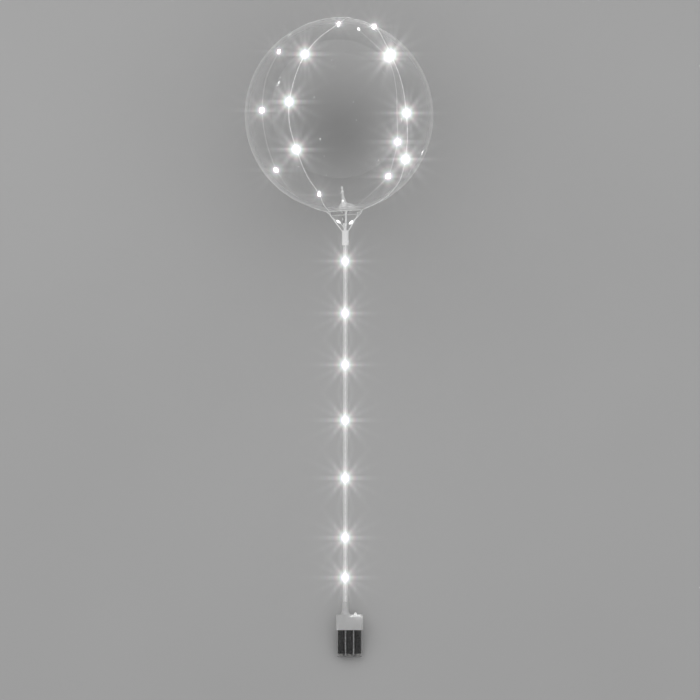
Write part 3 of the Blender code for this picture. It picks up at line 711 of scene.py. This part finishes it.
def pleat_depth(latitude, turn):
    """How far the film is drawn in by the pleats round its neck and at its top."""
    from_bottom = math.radians(latitude + 90)
    from_top = math.radians(90 - latitude)
    low = math.exp(-from_bottom / NECK_PLEAT_REACH) * neck_fold(turn)
    low *= min(1.0, from_bottom / NECK_PLEAT_START)
    high = math.exp(-((from_top - TOP_PLEAT_MIDDLE) / TOP_PLEAT_REACH) ** 2)
    return NECK_PLEAT_DEPTH * low + TOP_PLEAT_DEPTH * high * max(0.0, math.cos(TOP_PLEATS * turn)) ** 4


def make_balloon(rings=90, steps=176):
    rest = Vector((0, 0, balloon_centre_height()))
    radius, half = BALLOON_DIAMETER / 2, BALLOON_HEIGHT / 2
    shape = bmesh.new()
    made = [[shape.verts.new(LEANING @ (rest + Vector((0, 0, half))))]]
    for number in range(1, rings + 1):
        latitude = 90 - (90 - FILM_FOOT_LATITUDE) * (number / rings)
        ring = []
        for i in range(steps):
            turn = 2 * math.pi * i / steps
            up = math.radians(latitude)
            level = radius * math.cos(up)
            point = Vector((level * math.cos(turn), level * math.sin(turn), half * math.sin(up)))
            point -= outward(point) * pleat_depth(latitude, turn)
            ring.append(shape.verts.new(on_floor(LEANING @ (rest + point))))
        made.append(ring)
    for height, wide, share in neck_levels():
        ring = []
        for i in range(steps):
            turn = 2 * math.pi * i / steps
            reach = wide * (1 - NECK_FOLD_SHARE * neck_fold(turn, 2 * share))
            ring.append(shape.verts.new(LEANING @ (rest + Vector((
                reach * math.cos(turn), reach * math.sin(turn), -half - height
            )))))
        made.append(ring)
    foot = -half - NECK_SHAPE[-1][0]
    made.append([shape.verts.new(LEANING @ (rest + Vector((0, 0, foot))))])
    join_rings(shape, made)
    mesh = to_mesh("balloon_film", shape)
    film = piece("balloon_film", mesh, FILM_LOOK, Matrix(), BODY, ["balloon"], False)
    skin = film.modifiers.new("Film", "SOLIDIFY")
    skin.thickness = FILM
    skin.offset = -1
    return film


def neck_levels(count=28):
    """(depth under the ball, radius, share of the way) down the neck, smooth between its named widths."""
    levels = []
    for i in range(count + 1):
        depth = NECK_SHAPE[0][0] + (NECK_SHAPE[-1][0] - NECK_SHAPE[0][0]) * i / count
        for (low, r_low), (high, r_high) in zip(NECK_SHAPE, NECK_SHAPE[1:]):
            if low <= depth <= high + ON_AXIS:
                t = (depth - low) / (high - low)
                levels.append((depth, r_low + (r_high - r_low) * t * t * (3 - 2 * t), i / count))
                break
    return levels


def on_floor(point):
    """The film rests flat where the ball would reach under the floor."""
    point.z = max(point.z, FILM_ABOVE_FLOOR)
    return point


def make_inner_gather():
    """The spike of twisted film inside the balloon, over the folds round its foot."""
    shape = lathe(SPIKE_SHAPE, 48)
    foot = balloon_centre_height() - BALLOON_HEIGHT / 2
    for corner in shape.verts:
        spot = corner.co
        turn = math.atan2(spot.y, spot.x)
        spread = min(1.0, math.hypot(spot.x, spot.y) / SPIKE_SPREAD)
        ripple = 1 + SPIKE_FOLD_DEPTH * math.sin(SPIKE_FOLDS * turn + spot.z / SPIKE_TWIST)
        ripple += FOOT_LOBE_DEPTH * spread * math.sin(FOOT_LOBES * turn + 1)
        stretch = FOOT_STRETCH_RIGHT if spot.x > 0 else FOOT_STRETCH_LEFT
        spot.x *= ripple * (1 + spread * stretch * abs(math.cos(turn)))
        spot.y *= ripple
        spot.x -= SPIKE_LEAN * (spot.z / SPIKE_HEIGHT) ** 2
        spot.z += FOOT_WAVE_HEIGHT * spread * math.sin(FOOT_WAVES * turn) + FOOT_LIFT * spread
        spot.z += foot
    mesh = to_mesh("inner_gather", shape)
    return piece("inner_gather", mesh, GATHER_LOOK, LEANING, casts_shadow=False)


# Cup and stick

def rib_ends():
    """The corners of a rib's line, as (distance from the axis, height): socket, hoop and rim."""
    inset = BEAD + BOWL_WALL / 2
    return [
        Vector((SOCKET_RADIUS - BOWL_WALL / 2, 0, RIB_FOOT)),
        Vector((HOOP_DIAMETER / 2 - inset, 0, BOWL_HEIGHT - BAND_HEIGHT)),
        Vector((RIM_DIAMETER / 2 - inset, 0, BOWL_HEIGHT - BEAD)),
    ]


def rib(index, foot, head):
    """A rounded bar along the bowl's slope."""
    length = (head - foot).length
    shape = block(RIB_DEPTH, RIB_WIDTH, 0, length, RIB_ROUNDING, 3)
    slope = math.atan2(head.x - foot.x, head.z - foot.z)
    place = (
        Matrix.Rotation(FIRST_RIB + index * 2 * math.pi / RIB_COUNT - math.pi / 2, 4, "Z")
        @ Matrix.Translation(foot) @ Matrix.Rotation(slope, 4, "Y")
    )
    bmesh.ops.transform(shape, matrix=place, verts=shape.verts)
    return shape


def bead_ring(diameter, height, thick):
    """A round bead with a flat inner side as deep as the bowl's wall."""
    outer = diameter / 2
    inner = outer - BEAD - BOWL_WALL
    side = arc((outer - thick, height), thick, 90, -90, 12)
    return lathe([*side, (inner, height - thick), (inner, height + thick)], 128, True)


def make_cup_band():
    """The clear wall between the two beads."""
    lip, wall = BOWL_WALL / 2, BOWL_WALL / 4
    low, high = BOWL_HEIGHT - BAND_HEIGHT, BOWL_HEIGHT - BEAD
    hoop, rim = HOOP_DIAMETER / 2 - BEAD - lip, RIM_DIAMETER / 2 - BEAD - lip
    ring = [(rim + wall, high), (hoop + wall, low), (hoop - wall, low), (rim - wall, high)]
    bead = bead_ring(HOOP_DIAMETER, low + BEAD / 2, HOOP_IN_BAND)
    mesh = combined("cup_band", lathe(ring, 128, True), ("UNION", bead))
    return piece("cup_band", mesh, CLEAR_LOOK, LEANING, casts_shadow=False)


def make_cup():
    lean_back = leaning_matrix().inverted()
    ledge, foot = STICK_TOP + GAP, BOWL_BASE - SOCKET_LENGTH
    soft = SOCKET_WALL / 3
    socket = lathe([
        (STRING_HOLE / 2, BOWL_BASE + soft), (SOCKET_RADIUS - soft, BOWL_BASE + soft),
        (SOCKET_RADIUS, BOWL_BASE), (SOCKET_RADIUS, foot + soft), (SOCKET_RADIUS - soft, foot),
        (SEAT_BORE / 2, foot), (SEAT_BORE / 2, ledge), (STRING_HOLE / 2, ledge),
    ], 96, True)
    bmesh.ops.transform(socket, matrix=lean_back, verts=socket.verts)
    low, middle, high = rib_ends()
    hoop = bead_ring(HOOP_DIAMETER, BOWL_HEIGHT - BAND_HEIGHT + BEAD / 2, HOOP_ON_RIBS)
    steps = [("UNION", rib(i, low, middle)) for i in range(RIB_COUNT)]
    steps += [("UNION", rib(i, middle - Vector((0, 0, BEAD)), high)) for i in range(RIB_COUNT)]
    steps += [("UNION", hoop), ("UNION", socket)]
    rim = bead_ring(RIM_DIAMETER, BOWL_HEIGHT - BEAD, BEAD)
    return piece(
        "cup_ribbed", combined("cup_ribbed", rim, *steps), FROSTED_PAINTED_GLOW_LOOK, LEANING, BODY,
        ["balloon_cup"], False,
    )


def make_stick():
    outer, inner, soft = STICK_DIAMETER / 2, STICK_DIAMETER / 2 - STICK_WALL, STICK_WALL / 3
    levels = [STICK_TOP - soft - (STICK_LENGTH - 2 * soft) * i / 24 for i in range(25)]
    ring = [
        (outer - soft, STICK_TOP), *[(outer, z) for z in levels], (outer - soft, STICK_FOOT),
        (inner + soft, STICK_FOOT), *[(inner, z) for z in reversed(levels)], (inner + soft, STICK_TOP),
    ]
    mesh = to_mesh("stick_tube", lathe(ring, 48, True))
    return piece("stick_tube", mesh, STICK_PAINTED_GLOW_LOOK, LYING, BODY, ["stick"], False)


# Battery case

def cell_x(index):
    return CASE_OFFSET + (index - (CELL_COUNT - 1) / 2) * CELL_PITCH


def barrel(index, top):
    radius = BARREL_DIAMETER / 2
    rounding = arc((radius - TRAY_EDGE, TRAY_EDGE), TRAY_EDGE, 0, -90, 8)
    return lathe([(0, top), (radius, top), *rounding, (0, 0)], shift=cell_x(index))


def bore(index):
    radius, above = CELL_BORE / 2, TRAY_HEIGHT + 2 * CELL_COUNT * TRAY_WALL
    rounding = arc((radius - TRAY_WALL, TRAY_FLOOR + TRAY_WALL), TRAY_WALL, 0, -90, 6)
    return lathe([(0, above), (radius, above), *rounding, (0, TRAY_FLOOR)], shift=cell_x(index))


def make_tray():
    """Three joined barrels, each a little taller than the last, bored out and then trimmed level."""
    steps = [("UNION", barrel(i, TRAY_HEIGHT + (i + 1) * TRAY_WALL)) for i in range(1, CELL_COUNT)]
    steps += [("DIFFERENCE", bore(i)) for i in range(CELL_COUNT)]
    above = block(2 * TRAY_WIDTH, 2 * TRAY_WIDTH, TRAY_HEIGHT, 2 * TRAY_HEIGHT, x=CASE_OFFSET)
    steps.append(("DIFFERENCE", above))
    mesh = combined("tray_barrels", barrel(0, TRAY_HEIGHT + TRAY_WALL), *steps)
    return piece("tray_barrels", mesh, TRAY_LOOK, LYING, BODY, ["battery_tray"], False)


def make_tray_webs():
    """The rounded webs that fill the grooves between the barrels, front and back. They are moulded webs,
    made wide and grey to paint the lighter lines of light seen between the cells.
    """
    meshes = []
    for index in range(CELL_COUNT - 1):
        for side in (-1, 1):
            middle = Vector((cell_x(index) + CELL_PITCH / 2, side * WEB_FROM_MIDDLE, 0))
            path = [middle + Vector((0, 0, z)) for z in (TRAY_EDGE, HEAD_FOOT / 2, HEAD_FOOT - GAP)]
            meshes.append(tube_mesh("web", path, WEB_DIAMETER / 2, 16))
    return piece("tray_webs", joined("webs", meshes), WEB_LOOK, LYING)


def make_head():
    radius = SEAT_BORE / 2 + SLEEVE_WALL
    top, lip = HEAD_TOP + SLEEVE_HEIGHT, SLEEVE_WALL / 3
    turns = [math.pi / 2 * i / 10 for i in range(11)]
    flare = [
        (radius + FLARE_REACH * (1 - math.cos(t)), HEAD_TOP + FLARE_HEIGHT * (1 - math.sin(t)))
        for t in turns
    ]
    foot = HEAD_TOP - HEAD_WALL
    sleeve = lathe([
        (0, top), (radius - lip, top), (radius, top - lip), *flare, (flare[-1][0], foot), (0, foot),
    ])
    hollow = case_block(
        HEAD_WIDTH - 2 * HEAD_WALL, HEAD_DEPTH - 2 * HEAD_WALL,
        HEAD_FOOT - HEAD_WALL, HEAD_TOP - HEAD_WALL, HEAD_CORNER - HEAD_WALL, HEAD_EDGE - HEAD_WALL,
    )
    seat = lathe([
        (0, top + SLEEVE_HEIGHT), (SEAT_BORE / 2, top + SLEEVE_HEIGHT),
        (SEAT_BORE / 2, HEAD_TOP + SLEEVE_LEDGE), (STRING_HOLE / 2, HEAD_TOP + SLEEVE_LEDGE),
        (STRING_HOLE / 2, HEAD_TOP - 2 * HEAD_WALL), (0, HEAD_TOP - 2 * HEAD_WALL),
    ])
    slot_width = STEM_WIDTH + SWITCH_TRAVEL + 2 * SWITCH_CLEARANCE
    slot = block(
        slot_width, STEM_DEPTH + 2 * SWITCH_CLEARANCE, HEAD_TOP - 2 * HEAD_WALL, HEAD_TOP + HEAD_WALL,
        x=SWITCH_FROM_STICK + SWITCH_TRAVEL / 2,
    )
    outer = case_block(HEAD_WIDTH, HEAD_DEPTH, HEAD_FOOT, HEAD_TOP, HEAD_CORNER, HEAD_EDGE)
    cuts = [("DIFFERENCE", tool) for tool in (hollow, seat, slot)]
    mesh = combined("head_shell", outer, ("UNION", sleeve), *cuts)
    return piece("head_shell", mesh, MILKY_LOOK, LYING, BODY, ["case_head"])


def make_cells():
    """Each cell is a sleeve rolled over a metal can, whose foot and button show at its ends."""
    radius, nub = CELL_DIAMETER / 2, CELL_NUB_DIAMETER / 2
    lip, inner = radius - SLEEVE_LIP, radius - SLEEVE_LIP - CAN_INSET
    foot, shoulder = CELL_FOOT, CELL_FOOT + CELL_LENGTH - CELL_NUB_HEIGHT
    sleeve = [
        (lip, shoulder - SLEEVE_FOLD),
        *arc((radius - CELL_EDGE, shoulder - CELL_EDGE), CELL_EDGE, 90, 0, 6),
        *arc((radius - CELL_EDGE, foot + CELL_EDGE), CELL_EDGE, 0, -90, 6),
        (lip, foot + SLEEVE_FOLD),
    ]
    top = shoulder + CELL_NUB_HEIGHT
    can = [
        (0, top), *arc((nub - CAN_DEPTH, top - CAN_DEPTH), CAN_DEPTH, 90, 0, 4), (nub, shoulder),
        (inner, shoulder - CAN_DEPTH), (inner, foot + CAN_DEPTH), (nub, foot + CAN_DEPTH / 3),
        (0, foot + CAN_DEPTH / 3),
    ]
    for index, side in enumerate(("left", "middle", "right")):
        x = cell_x(index)
        mesh = to_mesh("sleeve", lathe(sleeve, closed=True, shift=x))
        piece(f"battery_{side}_sleeve", mesh, CELL_LOOK, LYING, BODY, [f"battery_{side}"])
        piece(f"battery_{side}_can", to_mesh("can", lathe(can, shift=x)), STEEL_LOOK)


def make_springs():
    """A coil that narrows from its plate to the cell's foot."""
    base = TRAY_FLOOR + GAP
    count = 24 * SPRING_TURNS
    foot, climb = base + SPRING_PLATE + SPRING_WIRE / 2, SPRING_HEIGHT - SPRING_PLATE - SPRING_WIRE
    for index, side in enumerate(("left", "middle", "right")):
        path = []
        for i in range(count + 1):
            share, turn = i / count, 2 * math.pi * SPRING_TURNS * i / count
            across = SPRING_BASE_DIAMETER + (SPRING_TIP_DIAMETER - SPRING_BASE_DIAMETER) * share
            wide = (across - SPRING_WIRE) / 2
            spot = (cell_x(index) + wide * math.cos(turn), wide * math.sin(turn), foot + share * climb)
            path.append(Vector(spot))
        plate = block(
            SPRING_PLATE_WIDTH, SPRING_PLATE_WIDTH, base, base + SPRING_PLATE,
            SPRING_PLATE_EDGE, 2, cell_x(index),
        )
        mesh = joined("coil", [tube_mesh("coil", path, SPRING_WIRE / 2), to_mesh("plate", plate)])
        piece(f"spring_{side}_coil", mesh, STEEL_LOOK, LYING, BODY, [f"spring_{side}"])


def make_switch():
    under = HEAD_TOP - HEAD_WALL - GAP
    x = SWITCH_FROM_STICK + SWITCH_TRAVEL / 2
    foot = under - SWITCH_BODY_HEIGHT
    body = block(SWITCH_BODY_WIDTH, SWITCH_BODY_DEPTH, foot, under, SWITCH_BODY_EDGE, 3, x)
    mesh = to_mesh("switch_box", body)
    piece("switch_box", mesh, DARK_LOOK, LYING, BODY, ["switch_body"])
    low, high = HEAD_TOP + GAP, HEAD_TOP + GAP + KNOB_HEIGHT
    knob = block(KNOB_WIDTH, KNOB_DEPTH, low, high)
    for corner in knob.verts:
        if corner.co.z > (low + high) / 2:
            corner.co.x *= KNOB_TIP / KNOB_WIDTH
    bevel(knob, knob.edges[:], KNOB_ROUNDING, 4)
    bmesh.ops.translate(knob, vec=(SWITCH_FROM_STICK, 0, 0), verts=knob.verts)
    stem = block(STEM_WIDTH, STEM_DEPTH, under + GAP, (low + high) / 2, x=SWITCH_FROM_STICK)
    mesh = combined("switch_cap", knob, ("UNION", stem))
    piece("switch_cap", mesh, WHITE_LOOK, LYING, SWITCH, ["switch_knob"])


# Lamp string

def clear_of_film(point, height):
    """The point, pushed out where it is nearer to the film than height. Balloon's own frame."""
    radius, half = BALLOON_DIAMETER / 2, BALLOON_HEIGHT / 2
    level = math.sqrt((point.x**2 + point.y**2) / radius**2 + point.z**2 / half**2)
    skin = point / level
    near = (point - skin).length * (level - 1) < height * abs(level - 1)
    return skin + outward(skin) * height if near else point


def route_stops():
    """The whole route as (point in the leaning frame, lamp, loop number or 0)."""
    upright = leaning_matrix().inverted()
    rest = balloon_centre_height()
    height = WIRE_DIAMETER / 2 + GAP + WIRE_SAG
    stops = [(upright @ Vector((x, y, TRAY_HEIGHT + z)), lamp, 0) for x, y, z, lamp in INSIDE_HEAD]
    stops.append((upright @ Vector((0, 0, STICK_FOOT + STRAIGHT_IN_STICK)), False, 0))
    stops += [(upright @ Vector((0, 0, z)), True, 0) for z in STICK_LAMPS]
    stops.append((upright @ Vector((0, 0, STICK_TOP - STRAIGHT_IN_STICK)), False, 0))
    routes = ((INTO_FIRST_LOOP, FIRST_LOOP), (ROUND_THE_CUP, SECOND_LOOP))
    for number, (before, loop) in enumerate(routes, 1):
        stops += cup_stops(before)
        for azimuth, latitude, lamp in loop:
            stops.append((film_point(azimuth, latitude, height) + Vector((0, 0, rest)), lamp, number))
    return stops + cup_stops(OUT_OF_SECOND_LOOP)


def cup_stops(rows):
    found = []
    for azimuth, distance, height, lamp in rows:
        side = math.radians(azimuth)
        found.append((Vector((distance * math.sin(side), -distance * math.cos(side), height)), lamp, 0))
    return found


def smooth_route(stops, spacing):
    """Points about spacing apart on one smooth curve through the stops, and the index of each stop."""
    chords = [(b - a).length for a, b in zip(stops, stops[1:])]
    slopes = []
    for i in range(len(stops)):
        low, high = max(i - 1, 0), min(i + 1, len(stops) - 1)
        slopes.append((stops[high] - stops[low]) / sum(chords[low:high]))
    points, marks = [stops[0]], [0]
    for i, chord in enumerate(chords):
        count = max(1, math.ceil(chord / spacing))
        for j in range(1, count + 1):
            t = j / count
            points.append(
                stops[i] * (2 * t**3 - 3 * t**2 + 1) + slopes[i] * chord * (t**3 - 2 * t**2 + t)
                + stops[i + 1] * (3 * t**2 - 2 * t**3) + slopes[i + 1] * chord * (t**3 - t**2)
            )
        marks.append(len(points) - 1)
    return points, marks


def hump(distance, reach):
    return math.cos(math.pi / 2 * distance / reach) ** 2 if abs(distance) < reach else 0.0


def lengths_along(points):
    along = [0.0]
    for a, b in zip(points, points[1:]):
        along.append(along[-1] + (b - a).length)
    return along


def string_route():
    """The string's middle line in the leaning frame, and the indexes of its lamps on it."""
    stops = route_stops()
    rest = Vector((0, 0, balloon_centre_height()))
    fine, marks = smooth_route([stop[0] for stop in stops], ROUTE_STEP)
    along = lengths_along(fine)
    lamps = [mark for mark, stop in zip(marks, stops) if stop[1]]
    first = [i for i, stop in enumerate(stops) if stop[2] == 1]
    second = [i for i, stop in enumerate(stops) if stop[2] == 2]
    crossed = fine[marks[first[0]] : marks[first[-1]]]
    wire, lamp = WIRE_DIAMETER / 2, LAMP_DIAMETER / 2
    placed = []
    for index, point in enumerate(fine):
        height = wire + GAP + WIRE_SAG
        height += (lamp - wire) * hump(min(abs(along[index] - along[s]) for s in lamps), LAMP_RAMP)
        if marks[second[0]] < index < marks[second[-1]]:
            nearest = min((point - other).length for other in crossed)
            height += (WIRE_DIAMETER + GAP) * hump(nearest, CROSSING_RAMP)
        placed.append(clear_of_film(point - rest, height) + rest)
    return placed, lamps


def strand(route, along, phase):
    """One wire of the pair, winding slowly round the string's middle line."""
    path = []
    offset = (WIRE_DIAMETER - STRAND_DIAMETER) / 2
    side = (route[1] - route[0]).orthogonal().normalized()
    for index, point in enumerate(route):
        ahead = (route[min(index + 1, len(route) - 1)] - route[max(index - 1, 0)]).normalized()
        side = (side - ahead * side.dot(ahead)).normalized()
        turn = 2 * math.pi * along[index] / STRAND_TWIST + phase
        path.append(point + (side * math.cos(turn) + ahead.cross(side) * math.sin(turn)) * offset)
    return path


def drop_profile():
    """A drop of resin round a lamp, drawn out to the wire at both ends."""
    half, wide, thin = LAMP_LENGTH / 2, LAMP_DIAMETER / 2, WIRE_DIAMETER / 2
    levels = [1 - 2 * i / 14 for i in range(15)]
    rings = [(thin + (wide - thin) * (1 - u * u) ** DROP_FULLNESS, half * u) for u in levels]
    return [(0, half), *rings, (0, -half)]


def make_string():
    route, lamps = string_route()
    along = lengths_along(route)
    paths = [strand(route, along, phase) for phase in (0, math.pi)]
    mesh = joined("wires", [tube_mesh("strand", path, STRAND_DIAMETER / 2, 6) for path in paths])
    piece("string_wires", mesh, WIRE_LOOK, LEANING, BODY, ["light_string"])
    drops = {name: [] for name in LAMP_KINDS}
    cores = {name: [] for name in LAMP_KINDS}
    cup_lamps = (len(STICK_LAMPS) + 1, len(lamps) - 1)
    for number, mark in enumerate(lamps):
        kind = "case" if number == 0 else "cup" if number in cup_lamps else lamp_kind(route[mark])
        ahead = (route[mark + 1] - route[mark - 1]).normalized()
        place = Matrix.Translation(route[mark]) @ ahead.to_track_quat("Z", "Y").to_matrix().to_4x4()
        drop = to_mesh("drop", lathe(drop_profile(), 20))
        drop.transform(place)
        drops[kind].append(drop)
        half = CORE_LENGTH / 2
        core = to_mesh("core", block(CORE_WIDTH, CORE_WIDTH, -half, half, CORE_EDGE, 3))
        core.transform(place)
        cores[kind].append(core)
        add_lamp_light(LEANING @ route[mark], LAMP_KINDS[kind][2])
    for kind in LAMP_KINDS:
        mesh = joined("drops", drops[kind])
        piece(f"string_drops_{kind}", mesh, RESIN_LOOKS[kind], LEANING, casts_shadow=False)
        mesh = joined("cores", cores[kind])
        name = f"string_lamps_{kind}"
        lit = piece(name, mesh, LAMP_LOOKS[kind], LEANING, casts_shadow=False)
        lit.visible_diffuse = False


def lamp_kind(spot):
    """Faint towards the film's two ends, far behind it, or near. Leaning frame."""
    spot = spot - Vector((0, 0, balloon_centre_height()))
    if spot.length > BALLOON_HEIGHT:
        return "near"
    if FAINT_FROM < abs(spot.z) / (BALLOON_HEIGHT / 2) < FAINT_TO:
        return "faint"
    return "far" if spot.y > FAR_BEHIND else "near"


def add_lamp_light(spot, watts):
    data = bpy.data.lights.new("lamp light", "POINT")
    data.energy = watts
    data.shadow_soft_size = LAMP_DIAMETER / 2
    light = bpy.data.objects.new("lamp light", data)
    light.location = spot
    bpy.context.scene.collection.objects.link(light)
    light.visible_glossy = False
    light.visible_transmission = False
    light.visible_camera = False


# Studio

def area_light(name, location, target, size, watts):
    """A soft light that shows neither in the picture nor as a window in the film."""
    data = bpy.data.lights.new(name, "AREA")
    data.shape = "RECTANGLE"
    data.size, data.size_y = size
    data.energy = watts
    light = bpy.data.objects.new(name, data)
    light.location = location
    light.rotation_mode = "QUATERNION"
    light.rotation_quaternion = (Vector(target) - Vector(location)).to_track_quat("-Z", "Y")
    light.visible_camera = False
    light.visible_glossy = False
    light.visible_transmission = False
    bpy.context.scene.collection.objects.link(light)


def make_studio():
    shape = bmesh.new()
    bmesh.ops.create_grid(shape, x_segments=4, y_segments=4, size=FLOOR_SIZE)
    floor = to_object("floor", shape)
    floor.location.z = -FLOOR_DROP
    floor.data.materials.append(floor_material())
    world = bpy.data.worlds.new("studio")
    world.use_nodes = True
    sky = world.node_tree.nodes["Background"]
    sky.inputs["Color"].default_value = (SKY_GREY, SKY_GREY, SKY_GREY, 1)
    sky.inputs["Strength"].default_value = SKY_STRENGTH
    bpy.context.scene.world = world
    for name, (place, size, watts) in SOFT_LIGHTS.items():
        area_light(name, place, LIGHT_AIM, size, watts)
    inside = HEAD_DEPTH / 2 - HEAD_WALL - SHOULDER_FROM_FRONT
    under = HEAD_TOP - HEAD_WALL - SHOULDER_UNDER_TOP
    shoulder = LYING @ Vector((SWITCH_FROM_STICK, -inside, under))
    edge = LYING @ Vector((SWITCH_FROM_STICK, -HEAD_DEPTH / 2, HEAD_TOP + SHOULDER_AIM_OVER_TOP))
    area_light("shoulder light", shoulder, edge, SHOULDER_SIZE, SHOULDER_WATTS)


def make_glare():
    """The camera's own bloom and short rays round what is brighter than any surface."""
    scene = bpy.context.scene
    scene.use_nodes = True
    tree = scene.node_tree
    tree.nodes.clear()
    last = tree.nodes.new("CompositorNodeRLayers").outputs["Image"]
    for kind, values in GLARES:
        glare = tree.nodes.new("CompositorNodeGlare")
        glare.glare_type = kind
        for key, value in values.items():
            glare.inputs[key].default_value = value
        tree.links.new(last, glare.inputs["Image"])
        last = glare.outputs["Image"]
    tree.links.new(last, tree.nodes.new("CompositorNodeComposite").inputs["Image"])
    scene.view_settings.view_transform = "Standard"


make_studio()
make_balloon()
make_inner_gather()
make_cup()
make_cup_band()
make_stick()
make_head()
make_tray()
make_tray_webs()
make_cells()
make_springs()
make_switch()
make_string()
make_glare()
